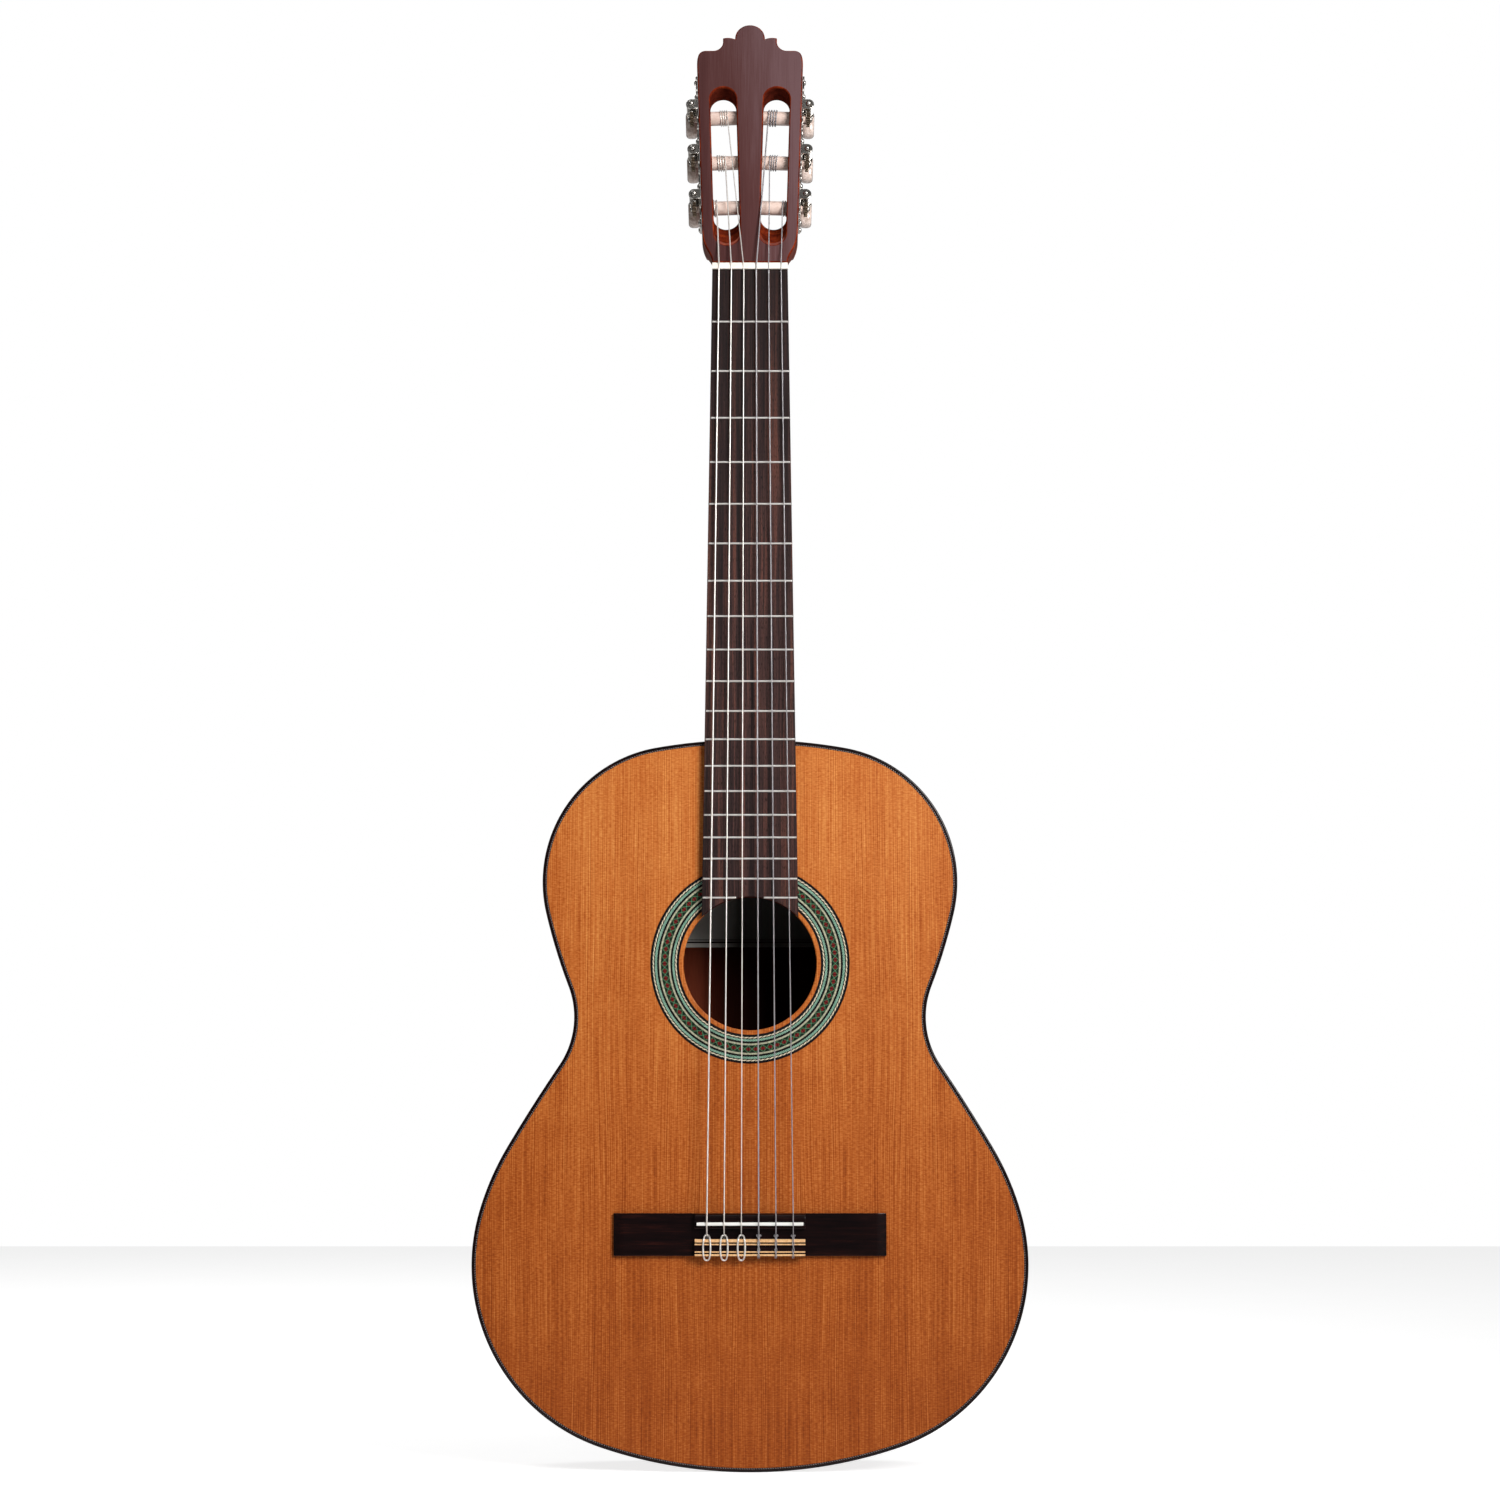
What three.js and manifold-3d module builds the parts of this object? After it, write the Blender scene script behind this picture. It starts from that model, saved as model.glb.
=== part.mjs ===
// A full-size classical guitar, built as its maker glues and screws it together.
//
// Millimetres. +X is the treble side, +Y runs from the soundboard into the body, +Z runs up the neck.
// The origin is the middle of the nut's front edge, on the plane of the soundboard's face.

import * as THREE from "three";
import { mergeVertices } from "three/addons/utils/BufferGeometryUtils.js";
import Module from "manifold-3d";

const wasm = await Module();
wasm.setup();

// ---------------------------------------------------------------- driving dimensions

const SCALE = 650; // nut to the twelfth fret, doubled
const GLUE = 0.1; // clear line left between pieces that meet on a flat face
const FIT = 0.3; // clear gap round pieces that meet on a curved or turned face
const FAR = 1000; // past everything in the part, for tools that cut all the way

// The body's half outline, as tangent arcs from the neck joint round to the tail: [radius, degrees].
// A negative radius bends inwards, as the waist does. The tail's arc closes the outline by itself.
const JOINT_Z = -SCALE / 2;
const OUTLINE_TOP = JOINT_Z + 0.4;
const OUTLINE_ARCS = [
  [374, 9.9], // shoulder
  [93, 93.4], // upper bout
  [384, 7.8], // upper flank
  [-58, 55.2], // waist
  [1070, 3.5], // lower flank
  [187, 14.6], // hip
  [129, 87.5], // lower bout
];
const OUTLINE_SAG = 0.4; // how far a straight step may stray from its arc

const TOP_T = 2.4; // soundboard
const BACK_T = 2.5;
const SIDE_T = 2.2;
const BINDING = { width: 2.5, depth: 6 };
const LINING = { width: 6, depth: 15, lip: 2 };
const PLATE_INSET = BINDING.width + GLUE; // the plates stop at the binding
const LINING_INSET = PLATE_INSET;

// The arched back is part of a sphere whose deepest point lies a little below the waist.
const DOME = { radius: 5000, depth: 101.3, z: -612 };
const DOME_FACETS = [0, 60, 110, 150, 190, 230, 300]; // distances from its middle where its facets meet
const BACK_BLANK = { front: 70, depth: 50 }; // deep enough for the whole arch

const HOLE = { z: -477.6, radius: 45.2 };
const ROSETTE = { inner: 48.9, outer: 67.7, thickness: 1, recess: 1.2 };

const BOARD = { thickness: 6, nutWidth: 52, jointWidth: 62, endRadius: 45.4, endZ: -447 };
const FRETS = { count: 19, width: 1.6, height: 1, endGap: 0.1 };
const NUT = { length: 5.1, top: -7.4, crown: 1.2, back: -5.3 }; // flat as far as crown, then falling

const BRIDGE = {
  front: -646.2,
  rear: -674.8,
  halfLength: 92.2,
  halfBlock: 37.3,
  wing: 4.2,
  height: 9,
  bevel: 7, // the length of the sloped end of a wing
  wingEnd: 1.6, // the height it slopes down to
  nose: { run: 4, drop: 3 }, // the slope in front of the saddle
  ridgeRear: -656.4,
  tieFront: -663.2,
  holeY: -5.4,
  holeRadius: 1.1,
};
const SADDLE = { z: -653.2, thickness: 2.3, halfLength: 36, top: -12.2, foot: -4.6, gap: 0.2 };

const BODY_FACE = OUTLINE_TOP + FIT; // where the neck stops in front of the ribs
const JOINT_CUT = 30; // how far the cut-outs for the neck's joint reach into the body
const NECK = { nutDepth: 15.5, heelDepth: 18, fullness: 0.85 }; // a fullness below 1 swells a half circle
const HEEL = {
  end: 90.4,
  capThickness: 2.5,
  // Both flare towards the neck: the value at the cap, and what is added at a depth and fades below it.
  reach: { cap: 19, flare: 68.6, from: 4, over: 10 },
  half: { cap: 10.5, flare: 20.3, from: 10, over: 30 },
  power: { across: 0.9, out: 1.1 },
};
const FOOT = {
  half: 30,
  gap: 1.2, // between the ribs and the foot
  length: 24,
  toeLength: 56,
  toeFront: 78,
  lap: 4, // how far the web and the toe run into the foot
  web: { half: 8, front: 8, back: 80, reach: 6 },
};

// Bars glued across the soundboard and the back, struts fanned over the lower bout, and the tail block.
const BAR = { width: 7, height: 15, endGap: 1 };
const HARMONIC_BARS = { upper: -414, lower: -541 };
const BACK_BARS = [-405, -535, -690];
const FAN = {
  count: 5,
  topZ: -556,
  tailZ: -752,
  shorter: 9, // how much sooner each strut ends than the one inside it
  topPitch: 21,
  tailPitch: 41,
  width: 6,
  height: 5,
};
const TAIL_BLOCK = { half: 34, thickness: 18, fullTo: 76 }; // full behind the top lining, as far as fullTo

// The head leans back from the nut. Its own frame has x across, y from its face to its back, z up.
const HEAD = { tilt: 14, faceY: -2, z: NUT.length + GLUE, thickness: 20, plate: 2, plateFoot: 0.8 };
const SLOT = {
  top: { x: 18.8, z: 127.3, radius: 9.1 },
  frontFoot: { x: 15.8, z: 23.2, radius: 9 },
  backFoot: { x: 16.4, z: 45, radius: 9 },
};
const FLANK = { lowX: 33.2, lowZ: 24, highX: 37.2, highZ: 152 }; // the straight side of the head
const HEAD_FOOT = { x: 26, z: 1, coreZ: -8 };
const CREST = {
  shoulder: { x: 31, z: 165.6 },
  cove: { x: 26, z: 172.6, radius: 7 },
  horn: { x: 19, z: 175.4, bowX: 15, bowZ: 176.6 },
  dome: { z: 175.4, radius: 10.5, foot: 174.8 },
};

// One tuning machine, in the frame of the head's flank: x out of the wood, y to the back, z up.
const MACHINE = {
  spacing: 35,
  middleZ: 81.8,
  axisY: 10.5,
  plate: 1.2,
  plateHalf: 7.6,
  plateBelow: 17, // from the lowest and highest machines to the ends of the plate
  plateAbove: 32,
  plateCorner: 6,
  spear: { shoulder: 14, waist: 8, neck: 7, inset: 6, half: 2.5, tip: 3 },
  gearX: 4.8,
  gearHalf: 1.2,
  teeth: 14,
  gearTip: 5.4,
  gearRoot: 4.15,
  gearPitch: 4.8,
  toothFoot: 0.27, // half widths of a tooth, as shares of the pitch
  toothTip: 0.1,
  wormRise: 7.6,
  wormTip: 3.25,
  wormRoot: 2.05,
  wormTurns: 4,
  wormSides: 6,
  threadFoot: 0.55, // half widths of the thread
  threadTip: 0.2,
  threadEnd: 0.6, // from the thread's last middle line to the collar
  collar: 1,
  collarRadius: 2.6,
  shaft: 1.25,
  bore: 1.65,
  lugY: [1.6, 17.4],
  lugThickness: 2,
  lugHalf: 3.7,
  shaftEnd: 0.3,
};
const ROLLER = { radius: 4.9, inner: -29, outer: -0.3, journal: 2.4, tip: 1.4, play: 0.5, sides: 12 };
const BUTTON = {
  near: 27,
  far: 41,
  half: 9.5,
  thickness: 8.6,
  fullness: 0.8,
  face: 0.72, // the size of its flat faces, as a share of its full oval
  waist: 0.55, // the share of its thickness that has the full oval
  shaftIn: 7,
  ferrule: { length: 3, widest: 2.4, wide: 3.1, narrow: 2.2 },
};

// String spacing and gauges, from the bass side to the treble side.
const STRINGS = {
  nutPitch: 8.55,
  saddlePitch: 11.65,
  radii: [0.54, 0.44, 0.36, 0.5, 0.41, 0.36],
  rollerRows: [-1, 0, 1, 1, 0, -1], // which roller takes each string, counted from the middle one
  rollerX: [23, 17.3, 16, 13, 13.7, 22.6],
  clear: 0.16, // gap under a string where it crosses the nut, the saddle or its roller
};

// ---------------------------------------------------------------- solids

// A closed three.js geometry as a solid.
function solid(geometry) {
  const bare = geometry.index ? geometry.toNonIndexed() : geometry.clone();
  const only = new THREE.BufferGeometry().setAttribute("position", bare.getAttribute("position"));
  const merged = mergeVertices(only, 1e-4);
  return new wasm.Manifold(
    new wasm.Mesh({
      numProp: 3,
      vertProperties: merged.attributes.position.array,
      triVerts: new Uint32Array(merged.index.array),
    }),
  );
}

function geometryOf(made) {
  const mesh = made.getMesh();
  const positions = new Float32Array(mesh.numVert * 3);
  for (let i = 0; i < mesh.numVert; i++) {
    positions.set(mesh.vertProperties.subarray(i * mesh.numProp, i * mesh.numProp + 3), i * 3);
  }
  const geometry = new THREE.BufferGeometry();
  geometry.setAttribute("position", new THREE.BufferAttribute(positions, 3));
  geometry.setIndex(new THREE.BufferAttribute(mesh.triVerts.slice(), 1));
  return geometry;
}

const union = (...parts) => parts.reduce((whole, part) => whole.add(part));
const cut = (whole, ...tools) => tools.reduce((left, tool) => left.subtract(tool), whole);

// A box between two corners.
function box(low, high) {
  const size = high.map((v, i) => v - low[i]);
  const geometry = new THREE.BoxGeometry(...size);
  geometry.translate(...low.map((v, i) => v + size[i] / 2));
  return geometry;
}

// A shape drawn in x and z, extruded from yFront towards the back.
function plate(shape, yFront, thickness, curveSegments = 8) {
  const geometry = new THREE.ExtrudeGeometry(shape, {
    depth: thickness,
    bevelEnabled: false,
    curveSegments,
  });
  geometry.rotateX(Math.PI / 2);
  geometry.translate(0, yFront + thickness, 0);
  return geometry;
}

// A cylinder between two points.
function rod(from, to, radius, sides = 12) {
  const start = new THREE.Vector3(...from);
  const end = new THREE.Vector3(...to);
  const along = end.clone().sub(start);
  const geometry = new THREE.CylinderGeometry(radius, radius, along.length(), sides);
  const turn = new THREE.Quaternion().setFromUnitVectors(
    new THREE.Vector3(0, 1, 0),
    along.clone().normalize(),
  );
  geometry.applyQuaternion(turn);
  geometry.translate(...start.add(end).multiplyScalar(0.5).toArray());
  return geometry;
}

// A skin over rings of points, each ring a convex polygon of the same count. A loop joins last to first.
function loft(rings, loop = false) {
  const count = rings[0].length;
  const positions = rings.flat().flatMap((p) => [p.x, p.y, p.z]);
  const faces = [];
  const spans = loop ? rings.length : rings.length - 1;
  for (let i = 0; i < spans; i++) {
    const here = i * count;
    const next = ((i + 1) % rings.length) * count;
    for (let k = 0; k < count; k++) {
      const l = (k + 1) % count;
      faces.push(here + k, here + l, next + l, here + k, next + l, next + k);
    }
  }
  if (!loop) {
    const last = (rings.length - 1) * count;
    for (let k = 1; k < count - 1; k++) {
      faces.push(0, k + 1, k, last, last + k, last + k + 1);
    }
  }
  const geometry = new THREE.BufferGeometry();
  geometry.setAttribute("position", new THREE.Float32BufferAttribute(positions, 3));
  geometry.setIndex(faces);
  return signedVolume(geometry) < 0 ? turnedInsideOut(geometry) : geometry;
}

function signedVolume(geometry) {
  const p = geometry.getAttribute("position");
  const [a, b, c] = [new THREE.Vector3(), new THREE.Vector3(), new THREE.Vector3()];
  let six = 0;
  for (let i = 0; i < geometry.index.count; i += 3) {
    a.fromBufferAttribute(p, geometry.index.getX(i));
    b.fromBufferAttribute(p, geometry.index.getX(i + 1));
    c.fromBufferAttribute(p, geometry.index.getX(i + 2));
    six += a.dot(b.cross(c));
  }
  return six / 6;
}

function turnedInsideOut(geometry) {
  const index = geometry.index.array;
  for (let i = 0; i < index.length; i += 3) {
    [index[i + 1], index[i + 2]] = [index[i + 2], index[i + 1]];
  }
  return geometry;
}

// ---------------------------------------------------------------- the body's shape

// Half of the outline at a distance inside the rim, from the neck joint down the treble side to the tail.
function halfOutline(inset) {
  let x = 0;
  let z = OUTLINE_TOP - inset;
  let heading = 0;
  const points = [new THREE.Vector2(x, z)];
  const follow = (radius, turn) => {
    const centre = [x - radius * Math.sin(heading), z - radius * Math.cos(heading)];
    const step = 2 * Math.acos(1 - OUTLINE_SAG / Math.abs(radius + inset));
    const steps = Math.ceil(turn / step);
    const from = heading;
    for (let k = 1; k <= steps; k++) {
      heading = from + (Math.sign(radius) * turn * k) / steps;
      x = centre[0] + radius * Math.sin(heading);
      z = centre[1] + radius * Math.cos(heading);
      points.push(new THREE.Vector2(x, z));
    }
  };
  for (const [radius, degrees] of OUTLINE_ARCS) {
    follow(radius - inset, THREE.MathUtils.degToRad(degrees));
  }
  follow(x / Math.sin(heading), Math.PI - heading);
  points[points.length - 1].x = 0;
  return points;
}

function wholeOutline(inset) {
  const half = halfOutline(inset);
  const other = half.slice(1, -1).reverse();
  return [...half, ...other.map((p) => new THREE.Vector2(-p.x, p.y))];
}

// Depth of the back's outer face below the soundboard's face.
function backDepth(x, z) {
  const along = z - DOME.z;
  return DOME.depth - DOME.radius + Math.sqrt(DOME.radius ** 2 - x * x - along * along);
}

// Everything in front of the back's outer face, moved forwards by lift.
function underDome(lift) {
  const profile = DOME_FACETS.map((r) => new THREE.Vector2(r, backDepth(r, DOME.z) - lift)).reverse();
  profile.unshift(new THREE.Vector2(DOME_FACETS.at(-1), -FAR));
  profile.unshift(new THREE.Vector2(0, -FAR));
  const geometry = new THREE.LatheGeometry(profile, 24);
  geometry.translate(0, 0, DOME.z);
  return solid(geometry);
}

// Half width of the body at a height, inside its rim by inset.
function halfWidthAt(z, inset) {
  const points = halfOutline(inset);
  const i = points.findIndex((p) => p.y < z);
  const [a, b] = [points[i - 1], points[i]];
  return THREE.MathUtils.mapLinear(z, a.y, b.y, a.x, b.x);
}

// A strip that follows the rim. Its section is a list of [inset, depth], where depth may follow the back.
function rimStrip(section, half = 0) {
  const outlines = section.map(([inset]) => (half ? halfOutline(inset) : wholeOutline(inset)));
  const rings = outlines[0].map((_, i) =>
    section.map(([, depth], k) => {
      const p = outlines[k][i];
      const x = half ? half * p.x : p.x;
      return new THREE.Vector3(x, typeof depth === "function" ? depth(x, p.y) : depth, p.y);
    }),
  );
  return solid(loft(rings, !half));
}

const backLess = (lift) => (x, z) => backDepth(x, z) - lift;

// ---------------------------------------------------------------- soundboard and its bars

function soundboard() {
  const shape = new THREE.Shape(wholeOutline(PLATE_INSET));
  const hole = new THREE.Path().absarc(0, HOLE.z, HOLE.radius, 0, Math.PI * 2);
  shape.holes.push(hole);
  const recess = ringPlate(ROSETTE.inner - FIT, ROSETTE.outer + FIT, -1, 1 + ROSETTE.recess);
  return cut(solid(plate(shape, 0, TOP_T, 20)), solid(recess));
}

function ringPlate(inner, outer, yFront, thickness) {
  const shape = new THREE.Shape().absarc(0, HOLE.z, outer, 0, Math.PI * 2);
  shape.holes.push(new THREE.Path().absarc(0, HOLE.z, inner, 0, Math.PI * 2));
  return plate(shape, yFront, thickness, 20);
}

const rosette = () => solid(ringPlate(ROSETTE.inner, ROSETTE.outer, 0, ROSETTE.thickness));

const INNER_RIM = LINING_INSET + LINING.width + BAR.endGap;

// Half the length of a bar that stops short of the linings.
function barHalf(z) {
  const edges = [z - BAR.width / 2, z + BAR.width / 2];
  return Math.min(...edges.map((edge) => halfWidthAt(edge, INNER_RIM)));
}

function harmonicBar(z) {
  const half = barHalf(z);
  const front = TOP_T + GLUE;
  return solid(box([-half, front, z - BAR.width / 2], [half, front + BAR.height, z + BAR.width / 2]));
}

function backBar(z) {
  const half = barHalf(z);
  const front = backDepth(0, z) - BACK_T - BAR.height;
  const blank = box([-half, front, z - BAR.width / 2], [half, DOME.depth, z + BAR.width / 2]);
  return solid(blank).intersect(underDome(BACK_T + GLUE));
}

// The fan struts spread from behind the lower harmonic bar towards the tail.
function fanStrut(i) {
  const place = i - (FAN.count - 1) / 2;
  const top = new THREE.Vector2(place * FAN.topPitch, FAN.topZ);
  const tail = new THREE.Vector2(place * FAN.tailPitch, FAN.tailZ + FAN.shorter * Math.abs(place));
  const across = tail.clone().sub(top).normalize().rotateAround(new THREE.Vector2(), Math.PI / 2);
  across.multiplyScalar(FAN.width / 2);
  const corners = [
    top.clone().add(across),
    top.clone().sub(across),
    tail.clone().sub(across),
    tail.clone().add(across),
  ];
  return solid(plate(new THREE.Shape(corners), TOP_T + GLUE, FAN.height));
}

// ---------------------------------------------------------------- back, sides, bindings, linings

// One book-matched half of the arched back: side is 1 for treble, -1 for bass.
function backHalf(side) {
  const whole = solid(plate(new THREE.Shape(wholeOutline(PLATE_INSET)), BACK_BLANK.front, BACK_BLANK.depth));
  const [left, right] = side > 0 ? [GLUE / 2, FAR] : [-FAR, -GLUE / 2];
  const keep = box([left, -FAR, -FAR], [right, FAR, FAR]);
  return cut(whole.intersect(solid(keep)).intersect(underDome(0)), underDome(BACK_T));
}

// A bent rib. Its front end stops short of the middle, in the slot of the neck's heel.
function side(which) {
  const front = BINDING.depth + GLUE;
  const section = [
    [0, front],
    [SIDE_T, front],
    [SIDE_T, backLess(BINDING.depth + GLUE)],
    [0, backLess(BINDING.depth + GLUE)],
  ];
  const slot = FOOT.web.half + FIT;
  const heel = box([-slot, -FAR, JOINT_Z - JOINT_CUT], [slot, FAR, FAR]);
  const tail = box([-GLUE / 2, -FAR, -FAR], [GLUE / 2, FAR, HOLE.z]);
  return cut(rimStrip(section, which), solid(heel), solid(tail));
}

function topBinding() {
  const ring = rimStrip([
    [0, 0],
    [BINDING.width, 0],
    [BINDING.width, BINDING.depth],
    [0, BINDING.depth],
  ]);
  const half = BOARD.jointWidth / 2 + FIT;
  return cut(ring, solid(box([-half, -FAR, JOINT_Z - JOINT_CUT], [half, FAR, FAR])));
}

const backBinding = () =>
  rimStrip([
    [0, backLess(0)],
    [BINDING.width, backLess(0)],
    [BINDING.width, backLess(BINDING.depth)],
    [0, backLess(BINDING.depth)],
  ]);

// The lining is a strip with a thin lip, which gives the plate a wider gluing face. It stops at the
// neck's foot.
function lining(onBack) {
  const { width, depth, lip } = LINING;
  const y = (d) => (onBack ? backLess(BACK_T + FIT + d) : TOP_T + GLUE + d);
  const ring = rimStrip([
    [LINING_INSET, y(0)],
    [LINING_INSET + width, y(0)],
    [LINING_INSET + lip, y(depth)],
    [LINING_INSET, y(depth)],
  ]);
  const half = FOOT.half + FIT;
  return cut(ring, solid(box([-half, -FAR, JOINT_Z - JOINT_CUT], [half, FAR, FAR])));
}

// The tail block fills the end of the body between the plates, notched where the linings pass.
function tailBlock() {
  const { half, thickness, fullTo } = TAIL_BLOCK;
  const front = halfOutline(0).at(-1).y + thickness;
  const inside = (inset, low, high) =>
    solid(plate(new THREE.Shape(wholeOutline(inset)), low, high - low)).intersect(
      solid(box([-half, low, -FAR], [half, high, front])),
    );
  const passing = LINING.depth + TOP_T + GLUE + FIT;
  const middle = inside(PLATE_INSET, passing, fullTo);
  const whole = inside(LINING_INSET + LINING.width + FIT, TOP_T + GLUE, DOME.depth);
  return union(middle, whole.intersect(underDome(BACK_T + GLUE)));
}

// ---------------------------------------------------------------- neck

const boardHalf = (z) => (BOARD.nutWidth + ((BOARD.jointWidth - BOARD.nutWidth) * z) / JOINT_Z) / 2;

const signedPower = (value, power) => Math.sign(value) * Math.abs(value) ** power;

// A half-round section, open side towards the strings.
function neckRing(z, halfWidth, depth, steps = 12) {
  const ring = [];
  for (let k = 0; k <= steps; k++) {
    const angle = (Math.PI * k) / steps;
    const x = halfWidth * signedPower(Math.cos(angle), NECK.fullness);
    const y = GLUE + depth * signedPower(Math.sin(angle), NECK.fullness);
    ring.push(new THREE.Vector3(x, y, z));
  }
  return ring;
}

function neckShaft() {
  const stations = 6;
  const rings = [];
  for (let i = 0; i <= stations; i++) {
    const z = THREE.MathUtils.lerp(HEAD.z - GLUE, BODY_FACE, i / stations);
    const depth = THREE.MathUtils.lerp(NECK.nutDepth, NECK.heelDepth, i / stations);
    rings.push(neckRing(z, Math.min(boardHalf(z), boardHalf(JOINT_Z)), depth));
  }
  return solid(loft(rings));
}

// How far the heel stands out from the body, and its half width, at a depth below the soundboard's face.
const flared = ({ cap, flare, from, over }, y) => cap + flare * Math.exp(-Math.max(0, y - from) / over);
const heelReach = (y) => flared(HEEL.reach, y);
const heelHalf = (y) => flared(HEEL.half, y);

function heelRing(y, reach = heelReach(y), half = heelHalf(y), steps = 12) {
  const ring = [];
  for (let k = 0; k <= steps; k++) {
    const angle = (Math.PI * k) / steps;
    const x = half * signedPower(Math.cos(angle), HEEL.power.across);
    const z = BODY_FACE + reach * signedPower(Math.sin(angle), HEEL.power.out);
    ring.push(new THREE.Vector3(x, y, z));
  }
  return ring;
}

function heel() {
  const depths = [4, 8, 12, 16, 21, 27, 36, 50, 70, HEEL.end];
  return solid(loft(depths.map((y) => heelRing(y))));
}

const heelCap = () => {
  const y = HEEL.end + GLUE;
  const [reach, half] = [heelReach(y), heelHalf(y)];
  return solid(loft([heelRing(y, reach, half), heelRing(y + HEEL.capThickness, reach, half)]));
};

// Inside the body the heel goes on as a web between the ribs and a foot that reaches along the back.
function heelFoot() {
  const { half, gap, length, toeLength, toeFront, lap, web: rib } = FOOT;
  const inner = OUTLINE_TOP - SIDE_T - FIT - gap;
  const web = box([-rib.half, rib.front, inner - lap], [rib.half, rib.back, JOINT_Z + rib.reach]);
  const block = box([-half, TOP_T + GLUE, inner - length], [half, FAR, inner]);
  const toe = box([-half, toeFront, inner - toeLength], [half, FAR, inner - length + lap]);
  const inside = union(solid(block), solid(toe)).intersect(underDome(BACK_T + GLUE));
  const rim = solid(plate(new THREE.Shape(wholeOutline(SIDE_T + FIT)), -FAR, 2 * FAR));
  return union(solid(web), inside.intersect(rim));
}

// ---------------------------------------------------------------- head

// The crest and flanks of the head, as the front sees them.
function headShape(lowZ) {
  const shape = new THREE.Shape();
  const { lowX, lowZ: flareZ, highX, highZ } = FLANK;
  const { shoulder, cove, horn, dome } = CREST;
  const foot = HEAD_FOOT;
  shape.moveTo(foot.x, lowZ);
  shape.lineTo(foot.x, foot.z);
  shape.bezierCurveTo(26.4, 9, 32.3, 11, lowX, flareZ);
  shape.lineTo(highX, highZ);
  shape.bezierCurveTo(37.6, 162, 36, 165.4, shoulder.x, shoulder.z);
  shape.lineTo(cove.x, shoulder.z);
  shape.absarc(cove.x, cove.z, cove.radius, -Math.PI / 2, Math.PI, true);
  shape.lineTo(horn.x, horn.z);
  shape.quadraticCurveTo(horn.bowX, horn.bowZ, dome.radius, dome.foot);
  shape.absarc(0, dome.z, dome.radius, 0, Math.PI);
  shape.lineTo(-dome.radius, dome.foot);
  shape.quadraticCurveTo(-horn.bowX, horn.bowZ, -horn.x, horn.z);
  shape.lineTo(-horn.x, cove.z);
  shape.absarc(-cove.x, cove.z, cove.radius, 0, -Math.PI / 2, true);
  shape.lineTo(-shoulder.x, shoulder.z);
  shape.bezierCurveTo(-36, 165.4, -37.6, 162, -highX, highZ);
  shape.lineTo(-lowX, flareZ);
  shape.bezierCurveTo(-32.3, 11, -26.4, 9, -foot.x, foot.z);
  shape.lineTo(-foot.x, lowZ);
  return shape;
}

// One string slot, as a tool: its foot slopes so that the strings run clear down to the rollers.
function slotTool(which) {
  const outline = (foot, y) => {
    const ring = [];
    const arc = (centre, from, steps = 6) => {
      for (let k = 0; k <= steps; k++) {
        const angle = from + (Math.PI * k) / steps;
        const x = centre.x + centre.radius * Math.cos(angle);
        ring.push(new THREE.Vector3(which * x, y, centre.z + centre.radius * Math.sin(angle)));
      }
    };
    arc(SLOT.top, 0);
    arc(foot, Math.PI);
    return ring;
  };
  const slope = SLOT.backFoot.z - SLOT.frontFoot.z;
  const past = 1 / HEAD.thickness; // the tool runs past both faces by this share
  const front = { ...SLOT.frontFoot, z: SLOT.frontFoot.z - slope * past };
  const back = { ...SLOT.backFoot, z: SLOT.backFoot.z + slope * past };
  return solid(loft([outline(front, -1), outline(back, HEAD.thickness + 1)]));
}

// Places something built in the flank's frame into the head's frame.
function flankMatrix(row, which = 1) {
  const turn = Math.atan2(FLANK.highX - FLANK.lowX, FLANK.highZ - FLANK.lowZ);
  const z = MACHINE.middleZ + row * MACHINE.spacing;
  const x = THREE.MathUtils.mapLinear(z, FLANK.lowZ, FLANK.highZ, FLANK.lowX, FLANK.highX);
  const matrix = new THREE.Matrix4().makeTranslation(x, 0, z);
  matrix.multiply(new THREE.Matrix4().makeRotationY(turn));
  return new THREE.Matrix4().makeScale(which, 1, 1).multiply(matrix);
}

const headMatrix = new THREE.Matrix4()
  .makeTranslation(0, HEAD.faceY, HEAD.z)
  .multiply(new THREE.Matrix4().makeRotationX(THREE.MathUtils.degToRad(-HEAD.tilt)));

function headCore() {
  let core = solid(plate(headShape(HEAD_FOOT.coreZ), HEAD.plate + GLUE, HEAD.thickness - HEAD.plate, 5));
  core = cut(core, slotTool(1), slotTool(-1));
  for (const row of [-1, 0, 1]) {
    for (const which of [1, -1]) {
      const ends = [ROLLER.inner - ROLLER.play, FLANK.highX].map((x) => [x, MACHINE.axisY, 0]);
      const hole = rod(...ends, ROLLER.radius + ROLLER.play, ROLLER.sides);
      hole.applyMatrix4(flankMatrix(row, which));
      core = cut(core, which > 0 ? solid(hole) : solid(turned(hole)));
    }
  }
  const underBoard = box([-FAR, -FAR, -FAR], [FAR, GLUE, HEAD.z - GLUE]);
  const placed = solid(geometryOf(core).applyMatrix4(headMatrix));
  return cut(placed, solid(underBoard));
}

// A mirrored geometry has its faces turned back out.
function turned(geometry) {
  const g = geometry.index ? geometry : mergeVertices(geometry);
  return turnedInsideOut(g);
}

function headPlate() {
  const face = solid(plate(headShape(HEAD.plateFoot), 0, HEAD.plate, 5));
  return cut(face, slotTool(1), slotTool(-1));
}

const neck = () => union(neckShaft(), heel(), heelFoot(), headCore());

// ---------------------------------------------------------------- fingerboard, nut, bridge, saddle

const fretDistance = (n) => SCALE * (1 - 2 ** (-n / 12));

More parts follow.
